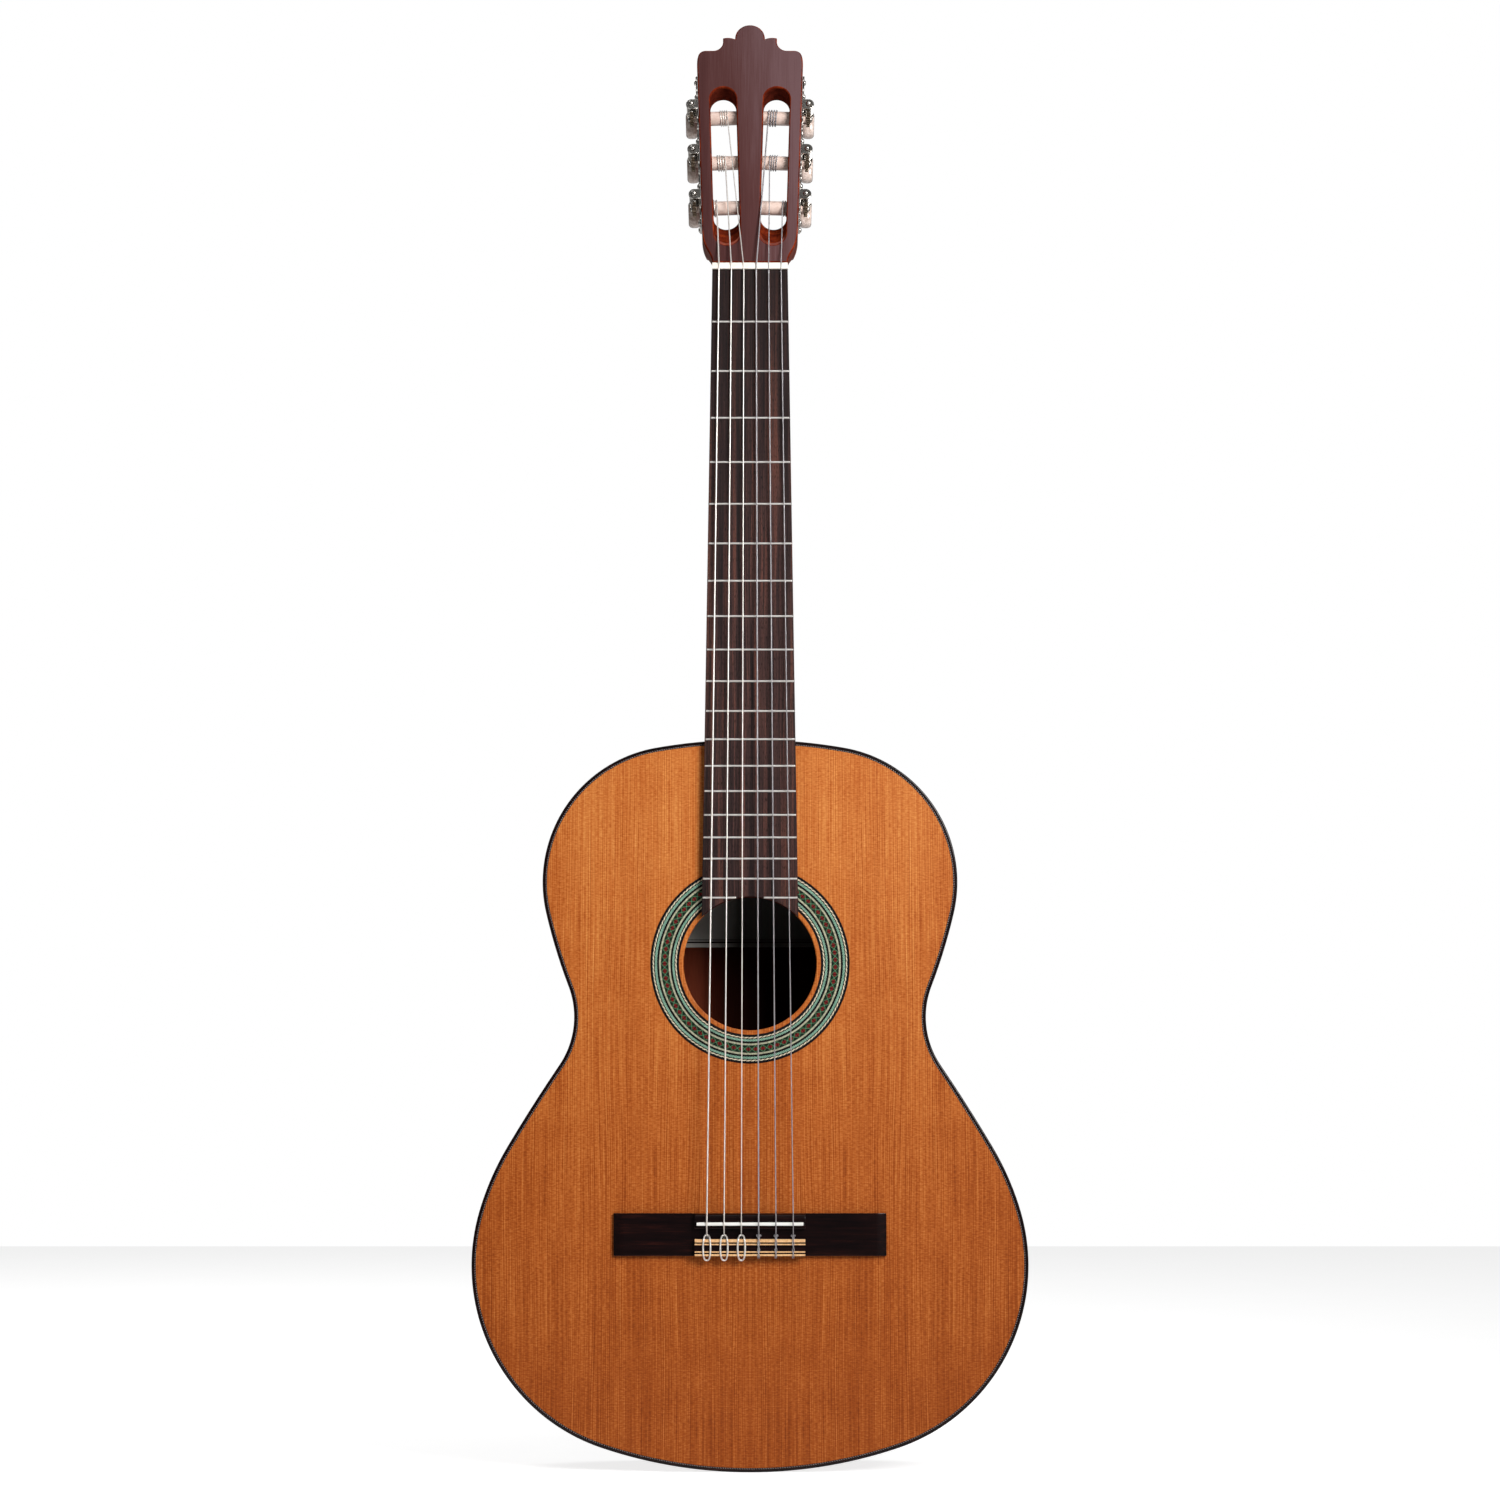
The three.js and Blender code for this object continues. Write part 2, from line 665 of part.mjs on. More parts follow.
// The frets are pressed into the board, so they are made with it.
function fingerboard() {
  const { endZ, thickness, endRadius } = BOARD;
  const shape = new THREE.Shape([
    new THREE.Vector2(-boardHalf(0), 0),
    new THREE.Vector2(-boardHalf(endZ), endZ),
    new THREE.Vector2(boardHalf(endZ), endZ),
    new THREE.Vector2(boardHalf(0), 0),
  ]);
  let board = solid(plate(shape, -thickness, thickness));
  for (let n = 1; n <= FRETS.count; n++) {
    board = board.add(solid(fret(-fretDistance(n))));
  }
  return cut(board, solid(rod([0, -FAR, HOLE.z], [0, FAR, HOLE.z], endRadius, 64)));
}

// A fret's crown: a low arch across the board, with its foot just inside the wood. The arch is drawn in
// shares of the fret's width and height.
function fret(z) {
  const { width, height, endGap } = FRETS;
  const half = boardHalf(z) - endGap;
  const crown = [
    [0.5, -0.3],
    [0.5, 0.35],
    [0.2, 1],
    [-0.2, 1],
    [-0.5, 0.35],
    [-0.5, -0.3],
  ];
  const ringAt = (x) =>
    crown.map(([across, up]) => new THREE.Vector3(x, -BOARD.thickness - up * height, z + across * width));
  return loft([ringAt(-half), ringAt(half)]);
}

// The nut's top falls away behind its crown, so that each string bends over the crown.
function nut() {
  const section = [
    [GLUE, 0],
    [GLUE, NUT.top],
    [NUT.crown, NUT.top],
    [NUT.length, NUT.back],
    [NUT.length, 0],
  ];
  const half = BOARD.nutWidth / 2;
  return solid(loft([-half, half].map((x) => section.map(([z, y]) => new THREE.Vector3(x, y, z)))));
}

const saddle = () =>
  solid(
    box(
      [-SADDLE.halfLength, SADDLE.top, SADDLE.z - SADDLE.thickness / 2],
      [SADDLE.halfLength, SADDLE.foot, SADDLE.z + SADDLE.thickness / 2],
    ),
  );

const saddleX = (i) => (i - 2.5) * STRINGS.saddlePitch;
const nutX = (i) => (i - 2.5) * STRINGS.nutPitch;

// Wings with bevelled ends, a ridge that holds the saddle, and a block that the strings tie to.
function bridge() {
  const { front, rear, halfLength, halfBlock, wing, wingEnd, bevel } = BRIDGE;
  const { height, nose, ridgeRear, tieFront } = BRIDGE;
  const wingShape = [
    [-halfLength, 0],
    [-halfLength, wingEnd],
    [-halfLength + bevel, wing],
    [halfLength - bevel, wing],
    [halfLength, wingEnd],
    [halfLength, 0],
  ];
  const wings = [front, rear].map((z) => wingShape.map(([x, up]) => new THREE.Vector3(x, -up, z)));
  const ridgeShape = [
    [front, 0],
    [front, height - nose.drop],
    [front - nose.run, height],
    [ridgeRear, height],
    [ridgeRear, 0],
  ];
  const ridge = [-halfBlock, halfBlock].map((x) => ridgeShape.map(([z, up]) => new THREE.Vector3(x, -up, z)));
  const tie = box([-halfBlock, -height, rear], [halfBlock, 0, tieFront]);
  const { gap, foot } = SADDLE;
  const [slotHalf, slotDeep] = [SADDLE.halfLength + gap, SADDLE.thickness / 2 + gap];
  const slot = box([-slotHalf, -FAR, SADDLE.z - slotDeep], [slotHalf, foot + gap, SADDLE.z + slotDeep]);
  let made = union(solid(loft(wings)), solid(loft(ridge)), solid(tie));
  made = cut(made, solid(slot));
  for (let i = 0; i < 6; i++) {
    const x = saddleX(i);
    const hole = rod([x, BRIDGE.holeY, tieFront + 1], [x, BRIDGE.holeY, rear - 1], BRIDGE.holeRadius, 8);
    made = cut(made, solid(hole));
  }
  return made;
}

// ---------------------------------------------------------------- strings

const headPoint = (x, y, z) => new THREE.Vector3(x, y, z).applyMatrix4(headMatrix);

// The route of one string: round the tie block, over the saddle and the nut, and onto its roller.
function stringRoute(i) {
  const x = saddleX(i);
  const lift = STRINGS.radii[i] + STRINGS.clear;
  const which = i < 3 ? -1 : 1;
  const rollerFront = MACHINE.axisY - ROLLER.radius - lift;
  const rollerZ = MACHINE.middleZ + STRINGS.rollerRows[i] * MACHINE.spacing;
  return [
    new THREE.Vector3(x, -BRIDGE.height - lift, BRIDGE.tieFront + lift),
    new THREE.Vector3(x, -BRIDGE.height - lift, BRIDGE.rear - lift),
    new THREE.Vector3(x, BRIDGE.holeY, BRIDGE.rear - lift),
    new THREE.Vector3(x, BRIDGE.holeY, BRIDGE.tieFront + lift),
    new THREE.Vector3(x, SADDLE.top - lift, SADDLE.z - SADDLE.thickness / 2),
    new THREE.Vector3(nutX(i), NUT.top - lift, NUT.crown),
    headPoint(which * STRINGS.rollerX[i], rollerFront, rollerZ - 2),
  ];
}

// A round wire through a list of points, mitred where it bends.
function wire(points, radius, sides = 6) {
  const across = new THREE.Vector3(1, 0, 0);
  const rings = points.map((point, i) => {
    const before = point.clone().sub(points[Math.max(i - 1, 0)]).normalize();
    const after = points[Math.min(i + 1, points.length - 1)].clone().sub(point).normalize();
    const along = before.clone().add(after).normalize();
    const straight = before.lengthSq() > 0 ? before : after;
    const up = new THREE.Vector3().crossVectors(straight, across).normalize();
    const ring = [];
    for (let k = 0; k < sides; k++) {
      const angle = (Math.PI * 2 * (k + 0.5)) / sides;
      const spoke = across.clone().multiplyScalar(Math.cos(angle)).addScaledVector(up, Math.sin(angle));
      spoke.multiplyScalar(radius);
      const shift = -spoke.dot(along) / straight.dot(along);
      ring.push(point.clone().add(spoke).addScaledVector(straight, shift));
    }
    return ring;
  });
  return loft(rings);
}

const string = (i) => solid(wire(stringRoute(i), STRINGS.radii[i]));

// ---------------------------------------------------------------- tuning machines, in the flank's frame

// The side plate with two bearing lugs for each worm.
function machinePlate() {
  const m = MACHINE;
  const shape = new THREE.Shape();
  const { shoulder, waist, neck: narrow, inset, half, tip } = m.spear;
  const corner = m.plateCorner;
  const low = -m.spacing - m.plateBelow;
  const high = m.spacing + m.plateAbove;
  const [front, back] = [m.axisY - m.plateHalf, m.axisY + m.plateHalf];
  // drawn in y and z, then stood up against the flank
  shape.moveTo(front + corner / 2, low);
  shape.lineTo(back - corner / 2, low);
  shape.quadraticCurveTo(back, low, back, low + corner);
  shape.lineTo(back, high - shoulder);
  shape.bezierCurveTo(back, high - waist, back - inset, high - narrow, m.axisY + half, high);
  shape.quadraticCurveTo(m.axisY, high + tip, m.axisY - half, high);
  shape.bezierCurveTo(front + inset, high - narrow, front, high - waist, front, high - shoulder);
  shape.lineTo(front, low + corner);
  shape.quadraticCurveTo(front, low, front + corner / 2, low);
  const flat = new THREE.ExtrudeGeometry(shape, { depth: m.plate, bevelEnabled: false, curveSegments: 4 });
  // shape x becomes y, shape y becomes z, depth becomes x
  flat.applyMatrix4(new THREE.Matrix4().set(0, 0, 1, GLUE, 1, 0, 0, 0, 0, 1, 0, 0, 0, 0, 0, 1));
  let made = solid(flat);
  for (const row of [-1, 0, 1]) {
    const z = row * m.spacing;
    made = cut(made, solid(rod([-FAR, m.axisY, z], [FAR, m.axisY, z], ROLLER.journal + FIT, 10)));
    for (const y of m.lugY) {
      made = made.add(lug(z + m.wormRise, y));
    }
  }
  return made;
}

// One bearing lug: a rounded ear with a bore for the worm's shaft.
function lug(z, y) {
  const m = MACHINE;
  const half = m.lugHalf;
  const shape = new THREE.Shape();
  shape.moveTo(GLUE, z - half);
  shape.lineTo(m.gearX, z - half);
  shape.absarc(m.gearX, z, half, -Math.PI / 2, Math.PI / 2);
  shape.lineTo(GLUE, z + half);
  shape.holes.push(new THREE.Path().absarc(m.gearX, z, m.bore, 0, Math.PI * 2));
  return solid(plate(shape, y, m.lugThickness, 4));
}

// The string roller turns in the head's wood and carries the gear on its squared tip.
function roller() {
  const m = MACHINE;
  const { radius, inner, outer, journal, tip } = ROLLER;
  const gearFace = m.gearX - m.gearHalf;
  return union(
    solid(rod([inner, m.axisY, 0], [outer, m.axisY, 0], radius, ROLLER.sides)),
    solid(rod([outer - 1, m.axisY, 0], [gearFace - FIT, m.axisY, 0], journal)),
    solid(rod([outer, m.axisY, 0], [gearFace + 2 * m.gearHalf, m.axisY, 0], tip, 8)),
  );
}

// A tooth points straight up at the worm, and the worm's groove waits for it.
function gear() {
  const m = MACHINE;
  const shape = new THREE.Shape();
  const pitch = (Math.PI * 2) / m.teeth;
  for (let k = 0; k < m.teeth; k++) {
    const middle = k * pitch;
    const corners = [
      [m.gearRoot, -m.toothFoot],
      [m.gearTip, -m.toothTip],
      [m.gearTip, m.toothTip],
      [m.gearRoot, m.toothFoot],
    ];
    for (const [radius, share] of corners) {
      const angle = middle + share * pitch;
      const [y, z] = [m.axisY + radius * Math.sin(angle), radius * Math.cos(angle)];
      if (k === 0 && share === -m.toothFoot) {
        shape.moveTo(y, z);
      } else {
        shape.lineTo(y, z);
      }
    }
  }
  shape.holes.push(new THREE.Path().absarc(m.axisY, 0, ROLLER.tip + FIT, 0, Math.PI * 2));
  const settings = { depth: 2 * m.gearHalf, bevelEnabled: false, curveSegments: 3 };
  const flat = new THREE.ExtrudeGeometry(shape, settings);
  const place = m.gearX - m.gearHalf;
  flat.applyMatrix4(new THREE.Matrix4().set(0, 0, 1, place, 1, 0, 0, 0, 0, 1, 0, 0, 0, 0, 0, 1));
  return solid(flat);
}

// A turned piece about the worm's axis. Its profile is a list of [radius, y], from the front to the back.
function turnedAlongWorm(profile, sides) {
  const points = profile.map(([radius, y]) => new THREE.Vector2(radius, y));
  const closed = [new THREE.Vector2(0, profile[0][1]), ...points, new THREE.Vector2(0, profile.at(-1)[1])];
  const geometry = new THREE.LatheGeometry(closed, sides);
  geometry.translate(MACHINE.gearX, 0, MACHINE.wormRise);
  return solid(geometry);
}

// The worm is a thread on the button's shaft, between two collars. Straight below the shaft, where the
// gear is, the thread stands half a lead away from the middle, so that a tooth fits its groove.
function worm() {
  const m = MACHINE;
  const lead = (2 * Math.PI * m.gearPitch) / m.teeth;
  const foot = m.wormRoot - FIT;
  const rings = [];
  for (let k = 0; k <= m.wormTurns * m.wormSides; k++) {
    const turn = k / m.wormSides - m.wormTurns / 2;
    const angle = Math.PI * 2 * (turn - 0.5);
    const point = (radius, shift) =>
      new THREE.Vector3(
        m.gearX - radius * Math.sin(angle),
        m.axisY + turn * lead + shift,
        m.wormRise - radius * Math.cos(angle),
      );
    rings.push([
      point(foot, -m.threadFoot),
      point(m.wormTip, -m.threadTip),
      point(m.wormTip, m.threadTip),
      point(foot, m.threadFoot),
    ]);
  }
  const half = (m.wormTurns / 2) * lead + m.threadEnd;
  const collar = half + m.collar;
  const { near, shaftIn, ferrule } = BUTTON;
  const core = [
    [m.shaft, m.shaftEnd],
    [m.shaft, m.axisY - collar],
    [m.collarRadius, m.axisY - collar],
    [m.collarRadius, m.axisY - half],
    [m.wormRoot, m.axisY - half],
    [m.wormRoot, m.axisY + half],
    [m.collarRadius, m.axisY + half],
    [m.collarRadius, m.axisY + collar],
    [m.shaft, m.axisY + collar],
    [m.shaft, near - ferrule.length],
    [ferrule.wide, near - ferrule.widest],
    [ferrule.narrow, near - FIT],
    [m.shaft, near - FIT],
    [m.shaft, near + shaftIn],
  ];
  return union(turnedAlongWorm(core, m.wormSides), solid(loft(rings)));
}

// The button is a flattened oval with a bore for the shaft.
function button() {
  const { gearX, wormRise, shaft } = MACHINE;
  const { near, far, fullness, face, waist, shaftIn } = BUTTON;
  const ringAt = (x, share) => {
    const ring = [];
    const count = 12;
    for (let k = 0; k < count; k++) {
      const angle = (Math.PI * 2 * k) / count;
      const y = (near + far) / 2 + share * ((far - near) / 2) * signedPower(Math.cos(angle), fullness);
      const z = wormRise + share * BUTTON.half * signedPower(Math.sin(angle), fullness);
      ring.push(new THREE.Vector3(gearX + x, y, z));
    }
    return ring;
  };
  const half = BUTTON.thickness / 2;
  const rings = [ringAt(-half, face), ringAt(-half * waist, 1), ringAt(half * waist, 1), ringAt(half, face)];
  const bore = rod([gearX, near - FIT, wormRise], [gearX, near + shaftIn + FIT, wormRise], shaft + FIT, 10);
  return cut(solid(loft(rings)), solid(bore));
}

// ---------------------------------------------------------------- materials and assembly

const finish = (color, roughness, metalness = 0) =>
  new THREE.MeshStandardMaterial({ color, roughness, metalness });

const LOOK = {
  cedar: finish(0xc37a43, 0.35),
  rosewood: finish(0x3a1a12, 0.3),
  mahogany: finish(0x7a2f18, 0.35),
  spruce: finish(0xd9b98a, 0.8),
  headFace: finish(0x4c2c2c, 0.3),
  ebony: finish(0x35261f, 0.55),
  bone: finish(0xe8ddcd, 0.4),
  mosaic: finish(0x4f7f63, 0.4),
  nickel: finish(0xc9c6c0, 0.25, 1),
  brass: finish(0xb9a37a, 0.3, 1),
  pearl: finish(0xcbb9ab, 0.25),
  barrel: finish(0xe2c6b4, 0.45),
  nylon: finish(0xe6e8ec, 0.15),
  wound: finish(0xd6d2cc, 0.3, 1),
};

const guitar = new THREE.Group();

function add(name, made, material, parent = guitar) {
  const mesh = new THREE.Mesh(geometryOf(made), material);
  mesh.name = name;
  parent.add(mesh);
  return mesh;
}

add("soundboard", soundboard(), LOOK.cedar);
add("rosette", rosette(), LOOK.mosaic);
add("harmonic_bar_upper", harmonicBar(HARMONIC_BARS.upper), LOOK.spruce);
add("harmonic_bar_lower", harmonicBar(HARMONIC_BARS.lower), LOOK.spruce);
for (let i = 0; i < FAN.count; i++) {
  add(`fan_strut_${i + 1}`, fanStrut(i), LOOK.spruce);
}
BACK_BARS.forEach((z, i) => add(`back_bar_${i + 1}`, backBar(z), LOOK.spruce));
add("back_bass", backHalf(-1), LOOK.rosewood);
add("back_treble", backHalf(1), LOOK.rosewood);
add("side_bass", side(-1), LOOK.rosewood);
add("side_treble", side(1), LOOK.rosewood);
add("top_binding", topBinding(), LOOK.rosewood);
add("back_binding", backBinding(), LOOK.rosewood);
add("top_lining", lining(false), LOOK.spruce);
add("back_lining", lining(true), LOOK.spruce);
add("tail_block", tailBlock(), LOOK.mahogany);
add("neck", neck(), LOOK.mahogany);
add("heel_cap", heelCap(), LOOK.rosewood);
add("fingerboard", fingerboard(), LOOK.ebony);
add("nut", nut(), LOOK.bone);
add("bridge", bridge(), LOOK.rosewood);
add("saddle", saddle(), LOOK.bone);
for (let i = 0; i < 6; i++) {
  add(`string_${6 - i}`, string(i), i < 3 ? LOOK.wound : LOOK.nylon);
}

const head = new THREE.Group();
head.applyMatrix4(headMatrix);
guitar.add(head);
add("head_plate", headPlate(), LOOK.headFace, head);

// The bass side's machines mirror the treble side's. A machine has the number of its string.
for (const [which, label] of [
  [1, "treble"],
  [-1, "bass"],
]) {
  const flank = new THREE.Group();
  flank.applyMatrix4(flankMatrix(0));
  const mirror = new THREE.Group();
  mirror.scale.x = which;
  mirror.add(flank);
  head.add(mirror);
  add(`machine_plate_${label}`, machinePlate(), LOOK.nickel, flank);
  for (const row of [1, 0, -1]) {
    const machine = new THREE.Group();
    machine.position.z = row * MACHINE.spacing;
    flank.add(machine);
    const number = which > 0 ? 2 + row : 5 - row;
    add(`roller_${number}`, roller(), LOOK.barrel, machine);
    add(`gear_${number}`, gear(), LOOK.brass, machine);
    add(`worm_${number}`, worm(), LOOK.nickel, machine);
    add(`button_${number}`, button(), LOOK.pearl, machine);
  }
}

export default guitar;
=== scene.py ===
"""A classical guitar: smooth bodies, inlays, strings and finishes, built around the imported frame.

Shapes are worked out in millimetres, in the frame's own axes: +X to the treble side, +Y from the soundboard
into the body, +Z up the neck. Every mesh is scaled to metres as it is made.
"""

import math

import bmesh
import bpy
from mathutils import Matrix, Vector
from mathutils.geometry import tessellate_polygon


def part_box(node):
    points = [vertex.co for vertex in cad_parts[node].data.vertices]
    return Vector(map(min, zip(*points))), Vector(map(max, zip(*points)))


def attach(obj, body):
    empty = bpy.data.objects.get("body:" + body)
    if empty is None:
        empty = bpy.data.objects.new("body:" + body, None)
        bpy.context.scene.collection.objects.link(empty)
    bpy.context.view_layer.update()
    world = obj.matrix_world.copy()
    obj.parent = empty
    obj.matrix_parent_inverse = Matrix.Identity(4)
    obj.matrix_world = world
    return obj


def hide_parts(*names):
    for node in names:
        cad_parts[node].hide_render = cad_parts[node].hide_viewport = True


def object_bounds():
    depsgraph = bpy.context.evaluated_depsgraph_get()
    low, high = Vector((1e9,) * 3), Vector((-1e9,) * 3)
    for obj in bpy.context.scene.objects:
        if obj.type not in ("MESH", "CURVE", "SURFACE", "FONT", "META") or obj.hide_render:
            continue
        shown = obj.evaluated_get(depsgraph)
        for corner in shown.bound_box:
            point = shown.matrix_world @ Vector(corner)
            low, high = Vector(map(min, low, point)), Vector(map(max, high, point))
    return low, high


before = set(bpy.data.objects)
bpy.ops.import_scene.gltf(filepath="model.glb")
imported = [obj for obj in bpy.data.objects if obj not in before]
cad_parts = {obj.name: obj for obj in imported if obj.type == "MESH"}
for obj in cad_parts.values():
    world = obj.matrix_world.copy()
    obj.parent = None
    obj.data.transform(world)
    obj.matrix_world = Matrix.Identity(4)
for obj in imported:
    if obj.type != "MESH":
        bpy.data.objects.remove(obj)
CAD_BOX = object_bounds()

MM = 0.001
FINE = 0.02  # how far a straight step may stray from its arc


def edge(node, corner, axis):
    """One coordinate of a CAD node's box, in millimetres: corner 0 is the lowest and 1 the highest."""
    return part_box(node)[corner]["xyz".index(axis)] / MM


# ---------------------------------------------------------------- driving dimensions

SCALE = 650.0
JOINT_Z = -SCALE / 2
OUTLINE_TOP = edge("back_binding", 1, "z")
OUTLINE_TAIL = edge("back_binding", 0, "z")
# The body's half outline as tangent arcs from the neck joint: (radius, degrees). A radius is negative
# where the outline bends in.
OUTLINE_ARCS = [
    (374, 9.9),
    (93, 93.4),
    (384, 7.8),
    (-58, 55.2),
    (1070, 3.5),
    (187, 14.6),
    (129, 87.5),
]
DOME_RADIUS = 5000.0
DOME_DEPTH = edge("back_treble", 1, "y")
DOME_Z = -612.0

TOP_T = edge("soundboard", 1, "y")
BACK_T = 2.5
SIDE_T = 2.2
BINDING_DEPTH = edge("top_binding", 1, "y")
BINDING_W = 2.1
PURFLING = [(2.1, 2.7, "edge_rope"), (2.7, 3.0, "black")]  # insets from the rim, out to in
PLATE_INSET = PURFLING[-1][1]
BACK_STRIP_HALF = 1.6  # half the width of the strip between the back's halves

HOLE_Z = -477.6
HOLE_R = 45.2
ROSETTE_INNER = 48.2
ROSETTE_OUTER = edge("rosette", 1, "x")

NECK_DEPTH = 15.5  # behind the fingerboard, at the nut
HEEL_DEPTH = 18.0  # the same, at the body

BOARD_T = 6.0
BOARD_NUT_HALF = edge("nut", 1, "x")
BOARD_JOINT_HALF = 31.0
BOARD_END_Z = edge("fingerboard", 0, "z")
BOARD_END_R = 45.4
FRET_COUNT = 19
FRET_HALF = 0.75

BRIDGE_FRONT = edge("bridge", 1, "z")
BRIDGE_REAR = edge("bridge", 0, "z")
BRIDGE_HALF = edge("bridge", 1, "x")
BLOCK_HALF = 37.3
BLOCK_TOP = edge("bridge", 0, "y")
WING_TOP = -4.2
TIE_FRONT = -663.2
TIE_HOLE_Y = -5.4
SADDLE_Z = (edge("saddle", 0, "z") + edge("saddle", 1, "z")) / 2
SADDLE_TOP = edge("saddle", 0, "y")
SADDLE_T = edge("saddle", 1, "z") - edge("saddle", 0, "z")

NUT_TOP = edge("nut", 0, "y")
NUT_CROWN_Z = 1.2
NUT_BACK_Z = edge("nut", 1, "z")

HEAD_TILT = math.radians(14)
HEAD_T = 20.0
HEAD_PLATE_T = 2.0
HEAD_START = 5.2  # where the head's own frame begins, above the nut
FLANK = {"low": (33.2, 24.0), "high": (37.2, 152.0)}  # the straight side of the head
FLARE = ((26, 1), (26.4, 9), (32.3, 11), FLANK["low"])  # from the nut's width out to the flank
HEAD_FOOT = 12.0  # where the head's own wood gives way to the neck's throat
# The round ends of a slot as (x, z, radius): its foot slopes from the front one to the back one.
SLOT_TOP = (18.8, 127.3, 9.1)
SLOT_FRONT_FOOT = (15.8, 23.2, 9.0)
SLOT_BACK_FOOT = (16.4, 45.0, 9.0)

ROW_PITCH = 35.0
MIDDLE_ROW_Z = 81.8
AXIS_Y = 10.5
GEAR_X = 4.8
WORM_RISE = 7.6
GEAR_TEETH = 14
GEAR_PITCH_R = 4.8
ROLLER_R = 4.9

# One entry for each string, from the bass side to the treble side: gauge, roller's row and place on it.
STRING_RADII = [0.54, 0.44, 0.36, 0.5, 0.41, 0.36]
STRING_ROWS = [-1, 0, 1, 1, 0, -1]
ROLLER_X = [23.0, 17.3, 16.0, 13.0, 13.7, 22.6]
NUT_PITCH = 8.55
SADDLE_PITCH = 11.65
STRING_LIFT = 0.16

HEAD_MATRIX = Matrix.Translation((0, -2, HEAD_START)) @ Matrix.Rotation(-HEAD_TILT, 4, "X")
AXIS_ALONG_X = Matrix.Rotation(-math.pi / 2, 4, "Z")  # lays a turned piece along X
# Stands a plate, drawn as seen from the side, on the flank.
SWAP_X_AND_Y = Matrix(((0, 1, 0, 0), (1, 0, 0, 0), (0, 0, 1, 0), (0, 0, 0, 1)))


# ---------------------------------------------------------------- camera, floor and light


def make_camera():
    camera = bpy.data.objects.new("camera", bpy.data.cameras.new("camera"))
    bpy.context.scene.collection.objects.link(camera)
    camera.location = (0, -2.688, -0.567)
    camera.rotation_euler = (math.radians(95), 0, 0)
    camera.data.lens = 94.79
    camera.data.sensor_width = 36
    camera.data.clip_end = 100
    bpy.context.scene.camera = camera


def make_light(name, place, target, size, power, spread=180):
    data = bpy.data.lights.new(name, "AREA")
    data.shape = "RECTANGLE"
    data.size, data.size_y = size
    data.energy = power
    data.spread = math.radians(spread)
    light = bpy.data.objects.new(name, data)
    bpy.context.scene.collection.objects.link(light)
    light.location = place
    light.rotation_euler = (Vector(target) - Vector(place)).to_track_quat("-Z", "Y").to_euler()


def strength_by_ray(tree, seen, given, socket):
    """Sets a strength: one value where the camera sees the surface, another where it lights the object."""
    rays = tree.nodes.new("ShaderNodeLightPath")
    strength = tree.nodes.new("ShaderNodeMapRange")
    strength.inputs["To Min"].default_value = given
    strength.inputs["To Max"].default_value = seen
    tree.links.new(rays.outputs["Is Camera Ray"], strength.inputs["Value"])
    tree.links.new(strength.outputs[0], socket)


def make_studio():
    """A white backdrop, a soft light on the right that is strongest on the upper body, and weak fills."""
    world = bpy.data.worlds.new("studio")
    bpy.context.scene.world = world
    world.use_nodes = True
    background = world.node_tree.nodes["Background"]
    background.inputs["Color"].default_value = (1, 1, 1, 1)
    strength_by_ray(world.node_tree, 1.0, 0.06, background.inputs["Strength"])
    bpy.context.scene.view_settings.view_transform = "Standard"
    make_light("key", (0.95, -1.5, 0.3), (0.03, 0, -0.2), (0.9, 0.9), 7.6, spread=64)
    make_light("fill", (-1.3, -1.9, 0.9), (0, 0, -0.2), (1.2, 1.2), 3.6)
    make_light("overhead", (0.25, -0.7, 1.5), (0, 0, -0.4), (1.2, 0.4), 3)
    make_light("behind", (-0.9, 1.9, 1.7), (0, 0, -0.4), (1.2, 1.2), 24)


def make_floor():
    """A pale table that ends a little in front of the guitar and fades into the backdrop."""
    mesh = bpy.data.meshes.new("floor")
    low = CAD_BOX[0][2]
    corners = [(-3, -1.2, low), (3, -1.2, low), (3, 4, low), (-3, 4, low)]
    mesh.from_pydata(corners, [], [(0, 1, 2, 3)])
    floor = bpy.data.objects.new("floor", mesh)
    bpy.context.scene.collection.objects.link(floor)
    mesh.materials.append(floor_material())


# ---------------------------------------------------------------- node helpers


def srgb(red, green, blue):
    """A colour given as 0 to 255 in sRGB, as the linear colour that a shader takes."""

    def linear(value):
        share = value / 255
        return share / 12.92 if share <= 0.04045 else ((share + 0.055) / 1.055) ** 2.4

    return (linear(red), linear(green), linear(blue), 1.0)


class Number:
    """A socket of a node tree that can be used in arithmetic, which makes Math nodes."""

    def __init__(self, tree, socket):
        self.tree = tree
        self.socket = socket

    def math(self, operation, *others):
        node = self.tree.nodes.new("ShaderNodeMath")
        node.operation = operation
        for value, place in zip((self, *others), node.inputs):
            if isinstance(value, Number):
                self.tree.links.new(value.socket, place)
            else:
                place.default_value = value
        return Number(self.tree, node.outputs[0])

    def __add__(self, other):
        return self.math("ADD", other)

    def __sub__(self, other):
        return self.math("SUBTRACT", other)

    def __mul__(self, other):
        return self.math("MULTIPLY", other)

    def __abs__(self):
        return self.math("ABSOLUTE")

    def below(self, other):
        return self.math("LESS_THAN", other)

    def fraction(self):
        return self.math("FRACT")

    def both(self, other):
        return self.math("MULTIPLY", other)


